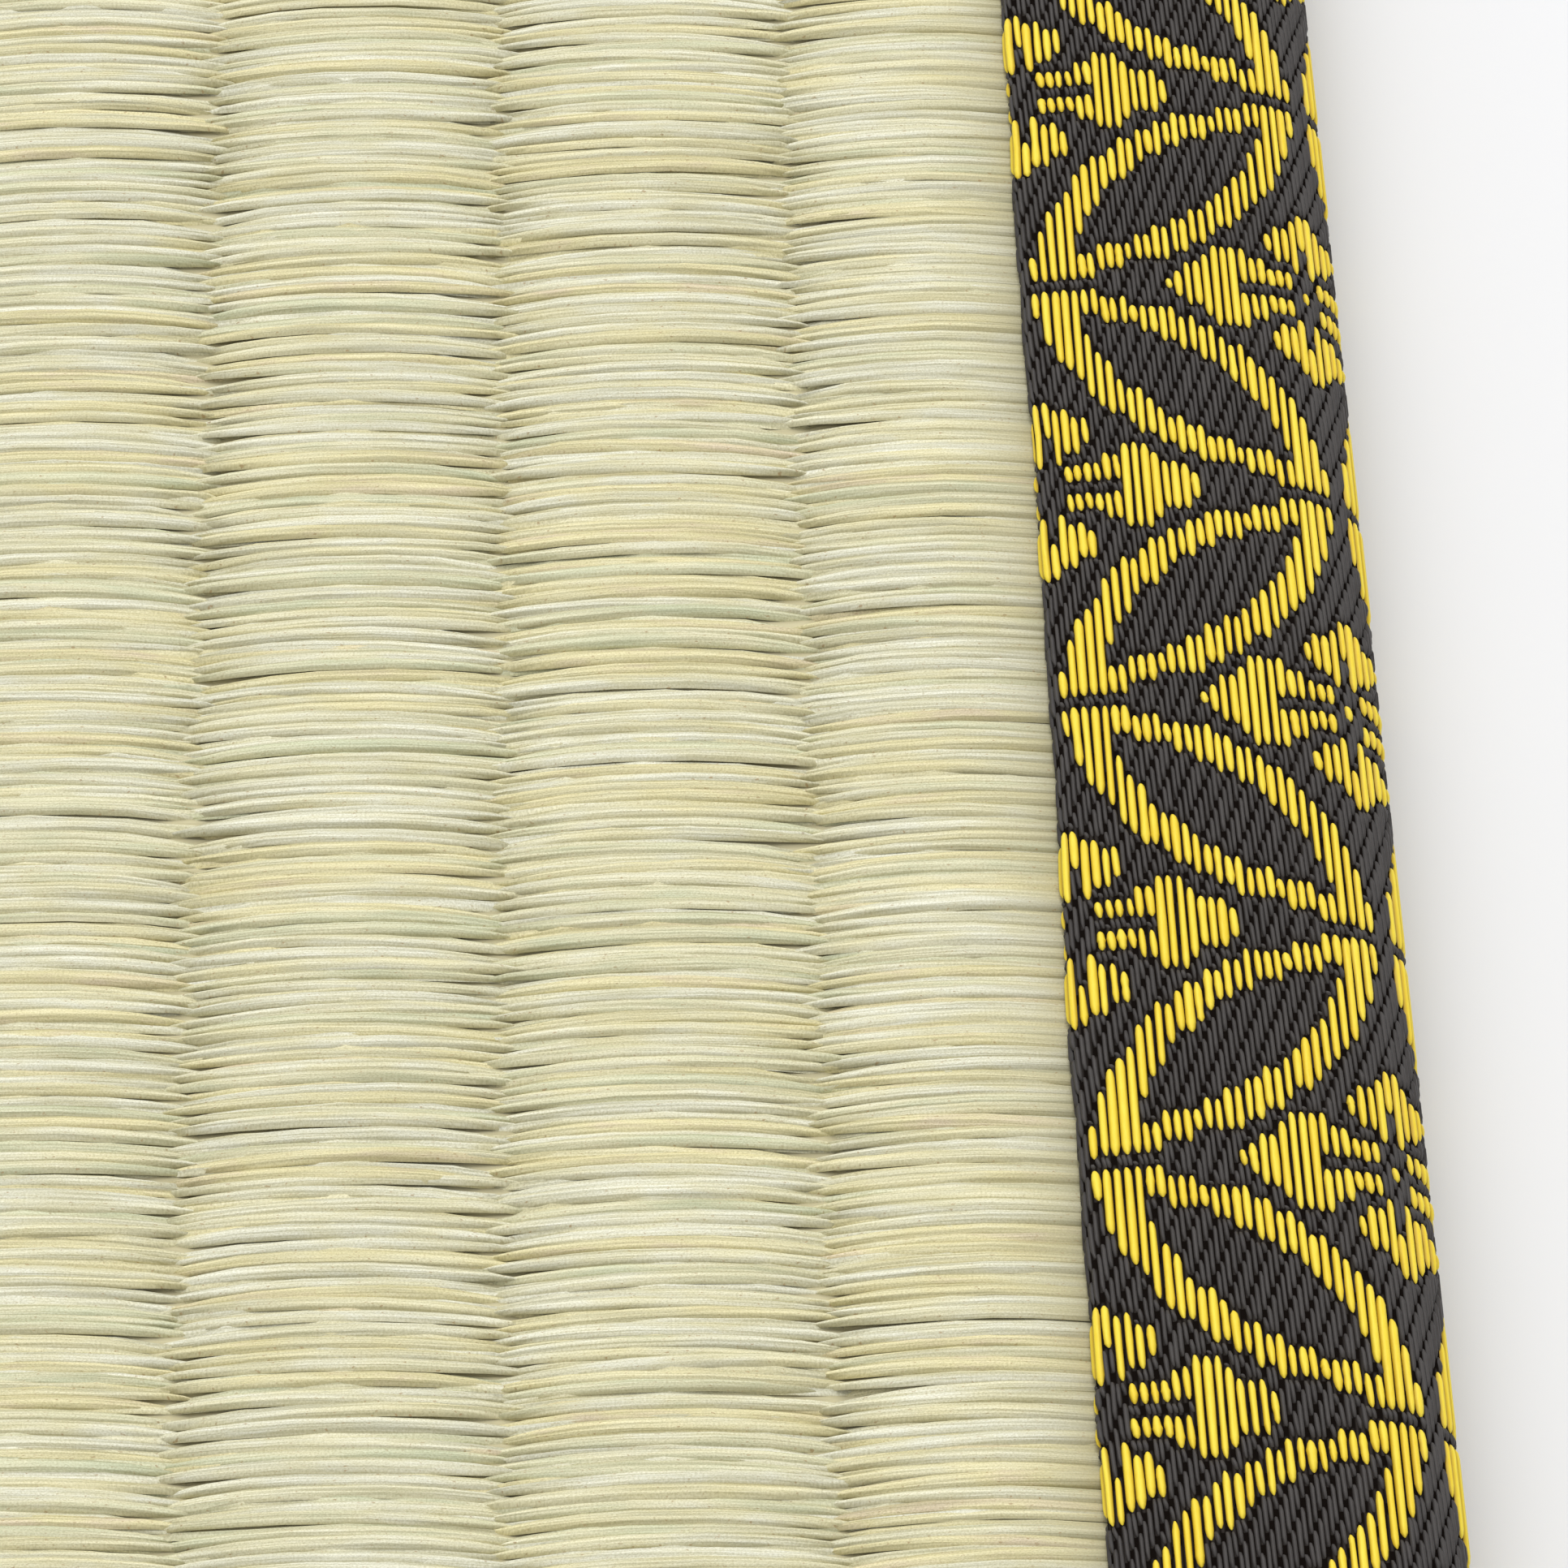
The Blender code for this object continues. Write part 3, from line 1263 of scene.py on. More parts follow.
@dataclass(frozen=True)
class CircleLattice:
    """The woven figure: overlapping circles with a four-petal flower in each.

    Places are counted in flower spacings: flowers at (0, 0) and (1, 1), where the
    circles of neighbouring flowers cross at (1, 0) and (0, 1).
    """

    slit: float = 0.0235
    slit_reach: float = 0.235
    wedge: float = 0.079
    wedge_slope: float = 0.15
    wedge_from: float = 0.25
    sway: tuple[float, float] = (-0.012, 0.030)
    rims_from: float = -0.01
    rim_out: float = 0.004
    parting: tuple[float, float] = (0.010, 0.022)
    parting_from: float = 0.80
    parting_over: float = 0.15
    rim_in: float = 0.147
    petal_across: tuple[float, ...] = (
        *(0.05, 0.10, 0.118, 0.17, 0.185, 0.235, 0.25),
        *(0.34, 0.365, 0.39, 0.44, 0.467, 0.507),
    )
    petal_height: tuple[float, ...] = (
        *(0.09, 0.10, 0.130, 0.134, 0.168, 0.174, 0.212),
        *(0.212, 0.166, 0.134, 0.128, 0.079, 0.02),
    )
    petal_along_low: tuple[float, ...] = (0.07, 0.12, 0.155, 0.17, 0.22, 0.27)
    petal_along_high: tuple[float, ...] = (0.45, 0.40, 0.362, 0.35, 0.32, 0.27)
    petal_along_at: tuple[float, ...] = (0.0, 0.04, 0.07, 0.11, 0.145, 0.16)
    split: tuple[float, float] = (0.245, 0.0175)
    vein: tuple[float, float] = (0.012, 0.255)
    eye: tuple[float, float] = (0.012, 0.034)

    def leaf_edge(self, from_crossing: Array, parting: float) -> Array:
        """Give a leaf's edge, as a distance from the crossing's row.

        Args:
            from_crossing: Distances from the crossing's column.
            parting: How much further apart two circles' rims lie at the crossing they touch at.

        Returns:
            The distances of the edge.
        """
        parted = smooth_step((from_crossing - self.parting_from) / self.parting_over)
        reach = 1.0 - self.rim_out - parting * parted
        arc = 1.0 - np.sqrt(np.maximum(0.0, reach**2 - from_crossing**2))
        wedge = np.maximum(arc, self.wedge + self.wedge_slope * (from_crossing - self.wedge_from))
        edge = np.where(from_crossing < self.slit_reach, self.slit, wedge)
        return np.where(from_crossing >= reach, NOWHERE, edge)

    def leaf_core(self, from_crossing: Array) -> Array:
        """Give the edge of a leaf's dark core, as a distance from the crossing's row.

        Args:
            from_crossing: Distances from the crossing's column.

        Returns:
            The distances of the core's edge.
        """
        reach = 1.0 - self.rim_in
        arc = 1.0 - np.sqrt(np.maximum(0.0, reach**2 - from_crossing**2))
        return np.where(from_crossing >= reach, NOWHERE, arc)

    def is_figure(self, across: Array, along: Array) -> Array:
        """Tell where the yellow threads show.

        Args:
            across: Places across the cloth, in flower spacings.
            along: Places along it.

        Returns:
            True where a yellow thread floats on top.
        """
        b = np.abs((along + 1) % 2 - 1)
        past_fold = across > self.rims_from
        across = across + self.sway[0] + (self.sway[1] - self.sway[0]) * smooth_step(b)
        a = np.abs((across + 1) % 2 - 1)
        low = self.leaf_edge(1 - a, self.parting[0])
        high = 1 - self.leaf_edge(a, self.parting[1])
        leaf = (b > low) & (b < high) & past_fold
        core = (b > self.leaf_core(1 - a)) & (b < 1 - self.leaf_core(a))
        swap = a + b > 1
        a = np.where(swap, 1 - a, a)
        b = np.where(swap, 1 - b, b)
        tall = np.interp(a, self.petal_across, self.petal_height, left=0.0, right=0.0)
        split = (a < self.split[0]) & (b < self.split[1])
        side_petal = (b < tall) & ~split
        low = np.interp(a, self.petal_along_at, self.petal_along_low, left=NOWHERE, right=NOWHERE)
        high = np.interp(a, self.petal_along_at, self.petal_along_high, left=0.0, right=0.0)
        vein = (a < self.vein[0]) & (b < self.vein[1])
        end_petal = (b > low) & (b < high) & ~vein
        eye = (a < self.eye[0]) & (b < self.eye[1])
        return (leaf & ~core) | side_petal | end_petal | eye


@dataclass(frozen=True)
class FloatShape:
    """The shape of one kind of float: a thread that shows on top over a short way."""

    width: float
    height: float
    taper: float
    rows: tuple[float, ...]
    wide: tuple[float, ...]
    tall: tuple[float, ...]
    ring: tuple[float, ...]
    has_middle: bool
    width_change: float
    row_change: float
    lean: float
    longest_taper: float = 0.40
    short_height: float = 0.50
    full_length: float = 0.0018
    height_change: tuple[float, float] = (0.85, 1.15)
    place_change: float = 0.000014
    lean_change: float = 0.000016
    bow_change: float = 0.000012
    sunk: float = 0.00003


YELLOW_CLOSE = FloatShape(
    width=0.000402,
    height=0.00021,
    taper=0.00060,
    rows=(0.14, 0.42, 1.0),
    wide=(0.44, 0.80, 1.0),
    tall=(0.42, 0.80, 1.0),
    ring=(-1.0, -0.7, 0.0, 0.7, 1.0),
    has_middle=True,
    width_change=0.16,
    row_change=0.06,
    lean=0.000065,
)
YELLOW_PLAIN = FloatShape(
    width=0.00041,
    height=0.00016,
    taper=0.00045,
    rows=(1.0,),
    wide=(1.0,),
    tall=(1.0,),
    ring=(-1.0, 0.0, 1.0),
    has_middle=False,
    width_change=0.12,
    row_change=0.0,
    lean=0.000065,
)
BLACK_CLOSE = FloatShape(
    width=0.000250,
    height=0.00021,
    taper=0.00042,
    rows=(0.24, 1.0),
    wide=(0.74, 1.0),
    tall=(0.52, 1.0),
    ring=(-1.0, -0.55, 0.55, 1.0),
    has_middle=False,
    width_change=0.10,
    row_change=0.04,
    lean=0.000085,
)


@dataclass
class BindingProfile:
    """The binding's section, from under its inner fold over the top and down the side."""

    inner: float = BINDING_INNER
    fold: float = 0.00052
    arch: float = 0.0004
    crest: float = 0.0046
    dome: float = 12.2
    lap: float = 0.002
    outer: float = HALF_WIDTH
    height: float = MAT_HEIGHT
    radius: float = EDGE_RADIUS
    roll_steps: int = 13
    flat_steps: int = 40
    bend_steps: int = 19
    reading_step: float = 0.00006
    x: Array = field(init=False)
    z: Array = field(init=False)
    length: Array = field(init=False)
    origin: float = field(init=False)

    def top(self, x: Array) -> Array:
        """Give the height of the binding's top.

        Args:
            x: Places along X.

        Returns:
            The heights.
        """
        reach = np.clip((x - self.inner) / self.crest, 0.0, 1.0)
        past = np.maximum(0.0, x - self.inner - self.crest)
        return self.height - self.arch * (1 - np.sin(reach * math.pi / 2)) - self.dome * past**2

    def __post_init__(self) -> None:
        """Lay out the section's points and their distance along it."""
        fold_x = self.inner + self.fold
        fold_z = float(self.top(np.array(fold_x))) - self.fold
        turn = np.radians(np.linspace(-90, 90, self.roll_steps))
        roll_x = fold_x - self.fold * np.cos(turn)
        roll_z = fold_z + self.fold * np.sin(turn)
        flat_x = np.linspace(fold_x, self.outer - self.radius, self.flat_steps)[1:]
        flat_z = self.top(flat_x)
        bend = np.radians(np.linspace(0, 90, self.bend_steps))[1:]
        bend_x = self.outer - self.radius + self.radius * np.sin(bend)
        fall = self.height - self.top(bend_x)
        bend_z = self.height - self.radius + (self.radius - fall) * np.cos(bend)
        low_x = self.outer - self.radius + self.radius * np.cos(bend)
        low_z = self.radius - self.radius * np.sin(bend)
        down_x = np.concatenate([[self.outer], low_x])
        down_z = np.concatenate([[self.radius], low_z])
        self.x = np.concatenate([[fold_x + self.lap], roll_x, flat_x, bend_x, down_x])
        self.z = np.concatenate([[fold_z - self.fold], roll_z, flat_z, bend_z, down_z])
        run = np.hypot(np.diff(self.x), np.diff(self.z))
        along = np.concatenate([[0.0], np.cumsum(run)])
        self.origin = float(along[self.roll_steps])
        self.length = along - self.origin

    def at(self, along: Array) -> tuple[Array, Array, Array, Array]:
        """Give the place and the outward direction at distances from the fold's top.

        Args:
            along: Distances along the section.

        Returns:
            X, Z, and the X and Z parts of the outward direction.
        """
        return follow(along, self.length, self.x, self.z, self.reading_step)


@dataclass
class Binding:
    """One binding: the folded cloth, and the threads that float on it."""

    side: Side
    close_span: tuple[float, float] | None = None
    yellow_columns: tuple[int, int] = (-5, 64)
    black_columns: tuple[int, int] = (-8, 84)
    columns_per_flower: int = 30
    flower_along: float = 0.01421
    first_flower: float = 0.04729
    column_origin: float = 0.00009
    pick: float = 0.0006459
    pick_steps: int = 6
    yellow_ends: tuple[float, float] = (0.00002, 0.00005)
    short_picks: float = 1.3
    short_reach: float = 0.00015
    shortest_yellow: float = 0.00032
    black_float: float = 0.00216
    black_step: float = 0.00005
    black_end_change: float = 0.00003
    shortest_black: float = 0.00022
    straight: float = 0.4065
    waver: float = 0.00013
    waver_reach: float = 0.002
    # plain floats carry this nearness to the rim all over, an even share of the painted edge shade.
    plain_rim: float = 0.62
    cuts_along: int = 164
    cuts_across: int = 11
    rim_depth: float = 0.0006
    roll_steps: int = 9
    top_from: float = 0.0149
    under_to: float = 0.0001
    end_share: float = 0.5
    lattice: CircleLattice = field(default_factory=CircleLattice)
    section: BindingProfile = field(default_factory=BindingProfile)
    seed: int = 21

    @property
    def label(self) -> str:
        """Give the side's name."""
        return self.side.name.lower()

    def edge_waver(self, along: Array) -> Array:
        """Give how far the inner fold wanders.

        Args:
            along: Places along Y.

        Returns:
            The shifts along X.
        """
        shift = 0.0 if self.side is Side.RIGHT else 2.0
        waves = [
            (0.6, 0.061, 0.4 + shift),
            (0.3, 0.0237, 2.1),
            (0.25, 0.0111, 1.2 + shift),
            (0.15, 0.0053, 0.2),
        ]
        return self.waver * ripple(along, waves)

    def place(self, across: Array, along: Array, lift: Array) -> Array:
        """Place points on the folded cloth.

        Args:
            across: Distances along the section from the fold's top.
            along: Places along Y. Past the end edge they go round it and down the end.
            lift: Heights above the cloth.

        Returns:
            The points, one row each.
        """
        x, z, out_x, out_z = self.section.at(across)
        near_fold = np.clip(1 - (x - self.section.inner) / self.waver_reach, 0.0, 1.0)
        x = x + near_fold * self.edge_waver(along)
        past = np.maximum(0.0, np.abs(along) - self.straight)
        turn = np.minimum(past / EDGE_RADIUS, math.pi / 2)
        down = np.maximum(0.0, past - EDGE_RADIUS * math.pi / 2)
        core_x = np.minimum(x, HALF_WIDTH - EDGE_RADIUS)
        core_z = np.clip(z, EDGE_RADIUS, MAT_HEIGHT - EDGE_RADIUS)
        radius = EDGE_RADIUS + lift
        arm_x = (x - core_x) + out_x * lift
        arm_z = (z - core_z) + out_z * lift
        y_core = np.clip(along, -self.straight, self.straight)
        point_x = core_x + arm_x * np.cos(turn)
        point_y = y_core + np.sign(along) * radius * np.sin(turn)
        point_z = core_z + arm_z * np.cos(turn) - down
        return np.stack([point_x * self.side.value, point_y, point_z], axis=-1)

    def figure(self, columns: Array, places: Array) -> Array:
        """Tell where the figure shows on some yellow columns.

        Args:
            columns: The columns' numbers.
            places: Places along Y.

        Returns:
            True where it shows, one row for each column.
        """
        across = (columns / self.columns_per_flower)[:, None]
        return self.lattice.is_figure(across, self.woven_row(places)[None, :] + 0 * across)

    def yellow_floats(self, rng: np.random.Generator) -> Table:
        """List every yellow float on the binding.

        Args:
            rng: The random numbers to draw from.

        Returns:
            Place across, start and end along Y of each float.
        """
        columns = np.arange(*self.yellow_columns)
        flat_end = self.straight + EDGE_RADIUS * math.pi / 2
        step = self.pick / self.pick_steps
        places = np.arange(-flat_end, flat_end, step)
        column, start, end = find_runs(self.figure(columns, places))
        count = len(column)
        low = places[0] + (start - 0.5) * step + rng.normal(*self.yellow_ends, count)
        high = places[0] + (end - 0.5) * step - rng.normal(*self.yellow_ends, count)
        short = high - low < self.pick * self.short_picks
        low = np.where(short, low - self.short_reach, low)
        high = np.where(short, high + self.short_reach, high)
        across = columns[column] * COLUMN_PITCH + self.column_origin
        return keep_rows({"across": across, "low": low, "high": high}, high - low > self.shortest_yellow)

    def woven_row(self, places: Array) -> Array:
        """Give the figure's place along the cloth, in whole picks from the nearest flower row.

        Args:
            places: Places along Y.

        Returns:
            Places along the cloth, in flower spacings.
        """
        exact = (self.first_flower - places) / self.flower_along
        nearest = np.rint(exact)
        picks = np.rint((exact - nearest) * self.flower_along / self.pick)
        return nearest + picks * self.pick / self.flower_along

    def black_floats(self, span: tuple[float, float], rng: np.random.Generator) -> Table:
        """List the black floats of the twill in one stretch.

        Args:
            span: Lowest and highest Y of the stretch.
            rng: The random numbers to draw from.

        Returns:
            Place across, start and end along Y of each float.
        """
        columns = np.arange(*self.black_columns)
        step = self.black_step
        places = np.arange(span[0], span[1], step)
        phase = (places[None, :] / TWILL_REPEAT - columns[:, None] * TWILL_SHIFT) % 1.0
        figure = self.figure(np.rint((columns - 0.5) / 2), places)
        column, start, end = find_runs((phase < self.black_float / TWILL_REPEAT) & ~figure)
        low = span[0] + start * step + rng.normal(0, self.black_end_change, len(start))
        high = span[0] + end * step + rng.normal(0, self.black_end_change, len(start))
        across = (columns[column] - 0.5) * COLUMN_PITCH / 2 + self.column_origin
        return keep_rows({"across": across, "low": low, "high": high}, high - low > self.shortest_black)

    def make_floats(
        self, name: str, floats: Table, form: FloatShape, rng: np.random.Generator
    ) -> bpy.types.Object:
        """Make one mesh of floats.

        Args:
            name: The piece's name.
            floats: Place across, start and end of each float.
            form: The shape of a float.
            rng: The random numbers to draw from.

        Returns:
            The piece.
        """
        total = len(floats["low"])
        low, high = floats["low"][:, None], floats["high"][:, None]
        length = high - low
        ring = np.array(form.ring)
        rows = np.array((0.0, *form.rows))
        wide = np.array((0.0, *form.wide))
        tall = np.array((0.0, *form.tall))
        from_end = rows[None, :] * np.minimum(form.taper, form.longest_taper * length)
        middle = [(low + high) / 2] if form.has_middle else []
        full = [[1.0]] if form.has_middle else []
        along = np.concatenate([low + from_end, *middle, (high - from_end)[:, ::-1]], axis=1)
        wide = np.concatenate([wide, *full, wide[::-1]])[None, :]
        tall = np.concatenate([tall, *full, tall[::-1]])[None, :]
        count = along.shape[1]
        change = 1.0 + rng.normal(0, form.row_change, (total, count))
        own_width = rng.uniform(1 - form.width_change, 1 + form.width_change, (total, 1))
        width = form.width * wide * change * own_width
        fit = np.minimum(1.0, form.short_height + length / form.full_length)
        height = form.height * tall * fit * rng.uniform(*form.height_change, (total, 1))
        station = np.linspace(-1, 1, count)[None, :]
        shift = rng.normal(0, form.place_change, (total, 1))
        shift = shift + rng.normal(-form.lean, form.lean_change, (total, 1)) * station
        shift = shift + rng.normal(0, form.bow_change, (total, 1)) * station**2
        across = floats["across"][:, None] + shift
        side = across[:, :, None] + ring[None, None, :] * width[:, :, None] / 2
        lift = height[:, :, None] * np.sqrt(np.maximum(0, 1 - ring**2))[None, None, :] - form.sunk
        flat_along = np.broadcast_to(along[:, :, None], side.shape).reshape(-1)
        points = self.place(side.reshape(-1), flat_along, lift.reshape(-1)).reshape(*side.shape, 3)
        spindle = Spindle(count - 2, len(ring))
        faces = spindle.faces(total, flip=self.side is Side.RIGHT)
        piece = mesh_piece(name, spindle.gather(points), faces)
        self.map_floats(piece.data, along, ring, rng)
        return piece

    def map_floats(
        self, mesh: bpy.types.Mesh, along: Array, ring: Array, rng: np.random.Generator
    ) -> None:
        """Give the floats their two UV maps and their random numbers.

        Args:
            mesh: The floats' mesh.
            along: Places along Y, for each float and row.
            ring: Places across a float, from -1 to 1.
            rng: The random numbers to draw from.
        """
        total, rows = along.shape
        grid = (total, rows, len(ring))
        spindle = Spindle(rows - 2, len(ring))
        chance = rng.uniform(0, 1, (total, 3))
        along_mm = (along / MM)[:, :, None] + chance[:, 1, None, None] * 500
        across_mm = ring[None, None, :] * 0.15 + chance[:, 2, None, None] * 300
        thread = np.stack([np.broadcast_to(along_mm, grid), np.broadcast_to(across_mm, grid)], axis=-1)
        add_uv(mesh, "thread", spindle.gather(thread))
        cells = BakeCells(stretch=3, margin=0.06, reach=0.42)
        add_uv(mesh, "OFBake", spindle.gather(cells.lay_out(along, ring)))
        add_chance(mesh, spindle.facts(chance, ring, self.plain_rim))

    def make_cloth(self) -> bpy.types.Object:
        """Make the folded cloth from an open box with rounded edges and a rolled inner fold.

        Returns:
            The cloth.
        """
        deselect_all()
        section = self.section
        size = (section.outer - section.inner, 2 * HALF_LENGTH, section.height)
        middle = ((section.outer + section.inner) / 2, 0.0, section.height / 2)
        bpy.ops.mesh.primitive_cube_add(size=1.0, location=middle)
        piece = bpy.context.active_object
        piece.name = piece.data.name = f"binding_cloth_{self.label}"
        piece.scale = size
        bpy.ops.object.transform_apply(location=True, rotation=True, scale=True)
        self.round_and_open(piece)
        self.roll_fold(piece)
        self.map_cloth(piece.data)
        if self.side is Side.LEFT:
            self.mirror(piece)
        return piece

    def round_and_open(self, piece: bpy.types.Object) -> None:
        """Round the folded edges of the box and open its inner side.

        Args:
            piece: The box.
        """
        inner = self.section.inner + TOUCH
        make_active(piece)
        bpy.ops.object.mode_set(mode="EDIT")
        select_parts(piece, "EDGE", lambda edge: any(vert.co.x > inner for vert in edge.verts))
        bpy.ops.mesh.bevel(offset=EDGE_RADIUS, segments=6, profile=0.5, affect="EDGES")
        select_parts(piece, "FACE", lambda face: all(vert.co.x < inner for vert in face.verts))
        bpy.ops.mesh.delete(type="FACE")
        select_parts(piece, "EDGE", lambda edge: edge_span(edge, 1) > HALF_LENGTH)
        bpy.ops.mesh.subdivide(number_cuts=self.cuts_along)
        select_parts(piece, "EDGE", lambda edge: edge_span(edge, 0) > (HALF_WIDTH - inner) / 2)
        bpy.ops.mesh.subdivide(number_cuts=self.cuts_across)
        bpy.ops.object.mode_set(mode="OBJECT")

    def roll_fold(self, piece: bpy.types.Object) -> None:
        """Shape the top's slow rise and roll the cloth under at its inner edge.

        Args:
            piece: The open box.
        """
        section = self.section
        mesh = bmesh.new()
        mesh.from_mesh(piece.data)
        for vert in mesh.verts:
            if vert.co.z > section.height - section.radius:
                share = (vert.co.z - (section.height - section.radius)) / section.radius
                fall = section.height - float(section.top(np.array(vert.co.x)))
                vert.co.z -= share * fall
        reach = section.inner + TOUCH
        low = section.height - self.rim_depth
        rim = [
            edge
            for edge in mesh.edges
            if edge.is_boundary and all(v.co.x < reach and v.co.z > low for v in edge.verts)
        ]
        turn = np.radians(np.linspace(90, -90, self.roll_steps))
        previous = rim
        top_z = float(section.top(np.array(section.inner + section.fold)))
        for vert in {v for edge in rim for v in edge.verts}:
            vert.co.x = section.inner + section.fold
            vert.co.z = top_z
        steps = [
            (section.inner + section.fold * (1 - math.cos(t)), top_z - section.fold * (1 - math.sin(t)))
            for t in turn[1:]
        ]
        steps.append((section.inner + section.fold + section.lap, top_z - 2 * section.fold))
        for x, z in steps:
            made = bmesh.ops.extrude_edge_only(mesh, edges=previous)["geom"]
            previous = [item for item in made if isinstance(item, bmesh.types.BMEdge)]
            fresh = {item for item in made if isinstance(item, bmesh.types.BMVert)}
            for vert in fresh:
                vert.co.x = x
                vert.co.z = z
            previous = [edge for edge in previous if all(v in fresh for v in edge.verts)]
        for vert in mesh.verts:
            near = min(1.0, max(0.0, 1 - (vert.co.x - section.inner) / self.waver_reach))
            if vert.co.z > section.height / 2:
                vert.co.x += near * float(self.edge_waver(np.array(vert.co.y)))
        bmesh.ops.recalc_face_normals(mesh, faces=mesh.faces)
        mesh.to_mesh(piece.data)
        mesh.free()
        upper = [face for face in piece.data.polygons if face.center.z > section.height * 0.9]
        if sum(face.area * face.normal.z for face in upper) < 0:
            piece.data.flip_normals()
        piece.data.polygons.foreach_set("use_smooth", [True] * len(piece.data.polygons))
        piece.data.update()

    def map_cloth(self, mesh: bpy.types.Mesh) -> None:
        """Give the cloth its UV map, in millimetres across and along.

        Args:
            mesh: The cloth's mesh.
        """
        points = np.zeros(len(mesh.vertices) * 3, np.float32)
        mesh.vertices.foreach_get("co", points)
        points = points.reshape(-1, 3).astype(float)
        section = self.section
        away_x = points[:, 0, None] - section.x[None, :]
        away_z = points[:, 2, None] - section.z[None, :]
        nearest = np.argmin(away_x**2 + away_z**2, axis=1)
        on_top = points[:, 2] > self.top_from
        across = section.length[nearest] + (points[:, 0] - section.x[nearest]) * on_top
        under = points[:, 2] < self.under_to
        across = np.where(under, section.length[-1] + (HALF_WIDTH - EDGE_RADIUS - points[:, 0]), across)
        drop = np.maximum(0.0, np.abs(points[:, 1]) - self.straight)
        along = points[:, 1] + np.sign(points[:, 1]) * drop * self.end_share
        cloth = np.stack([(across - self.column_origin) / MM, along / MM], axis=-1)
        add_uv(mesh, "cloth", cloth)

    def mirror(self, piece: bpy.types.Object) -> None:
        """Turn the right binding's cloth into the left one's.

        Args:
            piece: The cloth.
        """
        mesh = bmesh.new()
        mesh.from_mesh(piece.data)
        for vert in mesh.verts:
            vert.co.x = -vert.co.x
        bmesh.ops.reverse_faces(mesh, faces=mesh.faces)
        mesh.to_mesh(piece.data)
        mesh.free()
        piece.data.polygons.foreach_set("use_smooth", [True] * len(piece.data.polygons))

    def build(self, finishes: dict[str, bpy.types.Material]) -> list[bpy.types.Object]:
        """Build the binding and dress it.

        Args:
            finishes: The ground, yellow and black materials.

        Returns:
            Every piece of it, the cloth first.
        """
        rng = np.random.default_rng(self.seed + (0 if self.side is Side.RIGHT else 1))
        cloth = self.make_cloth()
        cloth.data.materials.clear()
        cloth.data.materials.append(finishes["ground"])
        pieces = [cloth]
        yellow = self.yellow_floats(rng)
        middle = (yellow["low"] + yellow["high"]) / 2
        close = np.zeros(len(middle), bool)
        if self.close_span is not None:
            close = (middle > self.close_span[0]) & (middle < self.close_span[1])
            fine = keep_rows(yellow, close)
            piece = self.make_floats("yellow_threads_close", fine, YELLOW_CLOSE, rng)
            piece.data.materials.append(finishes["yellow"])
            pieces.append(piece)
            black = self.black_floats(self.close_span, rng)
            piece = self.make_floats("black_threads_close", black, BLACK_CLOSE, rng)
            piece.data.materials.append(finishes["black"])
            pieces.append(piece)
        plain = keep_rows(yellow, ~close)
        piece = self.make_floats(f"yellow_threads_{self.label}", plain, YELLOW_PLAIN, rng)
        piece.data.materials.append(finishes["yellow"])
        pieces.append(piece)
        return pieces


# Camera, floor and light


@dataclass
class PhotoCamera:
    """The camera that stands where the photograph was taken from."""

    place: tuple[float, float, float] = (0.37442, -0.23389, 0.2851)
    down: float = 49.11
    turn: float = -1.52
    focal: float = 169.9
    sensor: float = 36.0

    def build(self) -> bpy.types.Object:
        """Build the camera.

        Returns:
            The camera.
        """
        data = bpy.data.cameras.new("photo_camera")
        data.lens = self.focal
        data.sensor_width = self.sensor
        data.clip_start = 0.01
        data.clip_end = 20.0
        camera = bpy.data.objects.new("photo_camera", data)
        bpy.context.scene.collection.objects.link(camera)
        camera.location = self.place
        camera.rotation_euler = (math.radians(90 - self.down), 0.0, math.radians(self.turn))
        bpy.context.scene.camera = camera
        return camera


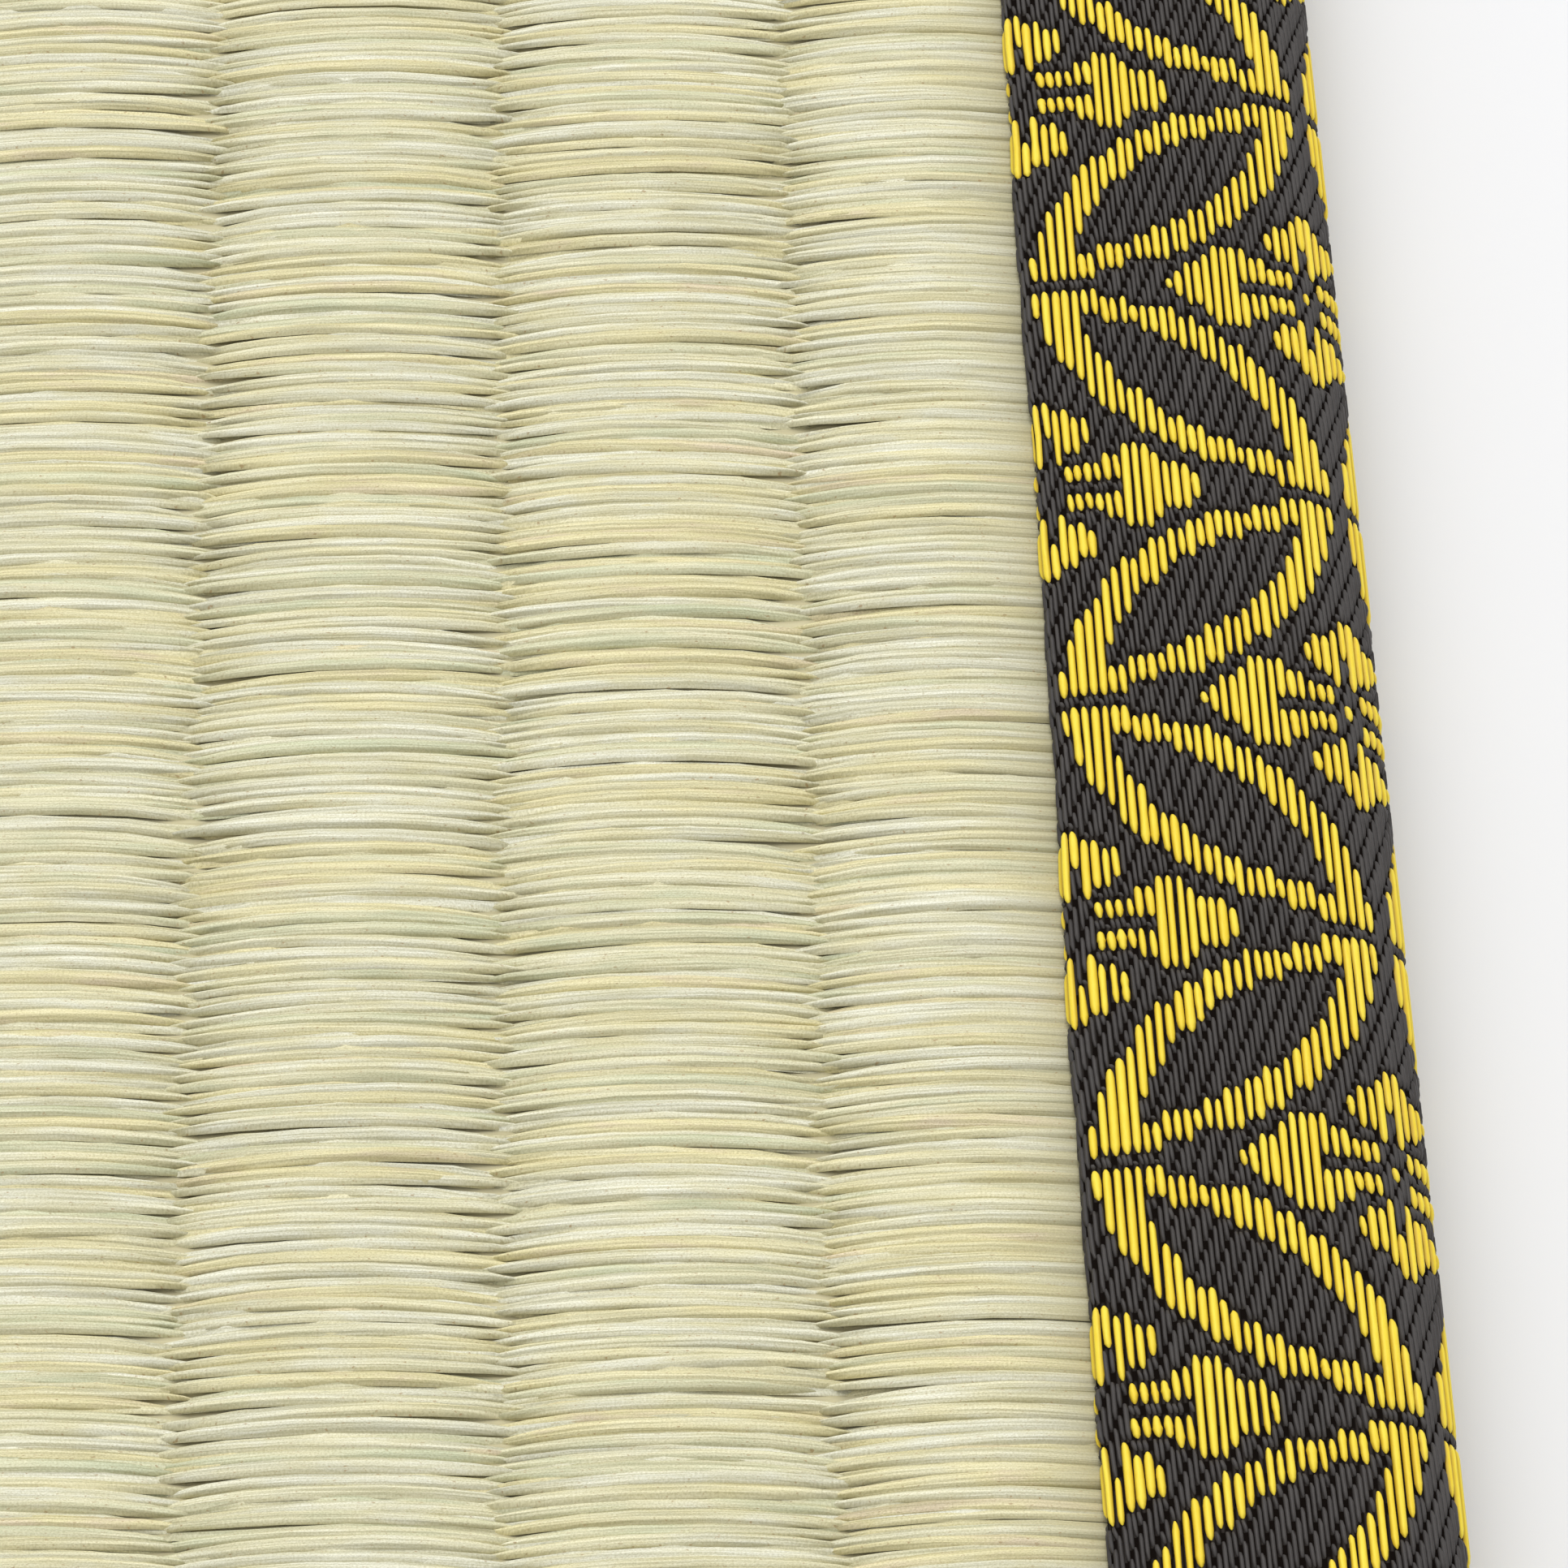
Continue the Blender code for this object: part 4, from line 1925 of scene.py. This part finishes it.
@dataclass
class Studio:
    """A pale floor under even light, with a large soft light above and behind the mat."""

    key_place: tuple[float, float, float] = (0.22, 0.60, 1.45)
    key_aim: tuple[float, float, float] = (0.37, 0.0, 0.0)
    key_size: tuple[float, float] = (0.8, 2.2)
    key_power: float = 21.5
    sky: float = 0.58
    floor_size: float = 12.0
    floor_gap: float = 0.0002

    def build_floor(self) -> bpy.types.Object:
        """Build the floor.

        Returns:
            The floor.
        """
        deselect_all()
        bpy.ops.mesh.primitive_plane_add(size=self.floor_size, location=(0.0, 0.0, -self.floor_gap))
        floor = bpy.context.active_object
        floor.name = floor.data.name = "floor"
        bpy.ops.object.transform_apply(location=True, rotation=True, scale=True)
        floor.data.materials.append(FloorFinish().build())
        return floor

    def build_light(self) -> None:
        """Build the key light and the even light all round."""
        data = bpy.data.lights.new("key", "AREA")
        data.shape = "RECTANGLE"
        data.size, data.size_y = self.key_size
        data.energy = self.key_power
        light = bpy.data.objects.new("key", data)
        bpy.context.scene.collection.objects.link(light)
        light.location = self.key_place
        aim = Vector(self.key_aim) - Vector(self.key_place)
        light.rotation_euler = aim.to_track_quat("-Z", "Y").to_euler()
        world = bpy.data.worlds.new("studio")
        world.use_nodes = True
        world.node_tree.nodes["Background"].inputs[0].default_value = (1.0, 1.0, 1.0, 1.0)
        world.node_tree.nodes["Background"].inputs[1].default_value = self.sky
        bpy.context.scene.world = world
        bpy.context.scene.view_settings.view_transform = "Standard"


def attach(pieces: list[bpy.types.Object]) -> None:
    """Let pieces ride on the mat's body, and log each one's face count.

    Args:
        pieces: The pieces.
    """
    for piece in pieces:
        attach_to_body(piece, BODY)
        LOG.info("%s: %d faces", piece.name, len(piece.data.polygons))


def write_sizes() -> None:
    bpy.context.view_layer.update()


def main() -> None:
    """Build the mat, its floor, light and camera."""
    logging.basicConfig(level=logging.INFO, format="%(name)s: %(message)s")
    PhotoCamera().build()
    studio = Studio()
    studio.build_floor()
    studio.build_light()

    board = BackingBoard().build()
    attach([board])

    facing = RushFacing().build()
    attach(facing)
    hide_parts("rush_mat")

    finishes = {
        "ground": GroundFinish().build(),
        "yellow": YELLOW_THREAD.build(),
        "black": BLACK_THREAD.build(),
    }
    right = Binding(Side.RIGHT, close_span=(-0.060, 0.070)).build(finishes)
    attach(right)
    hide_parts("binding_right")
    left = Binding(Side.LEFT).build(finishes)
    attach(left)
    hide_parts("binding_left")

    LOG.info("facing carries %d pieces of stems", len(facing) - 1)
    write_sizes()


if __name__ == "__main__":
    main()
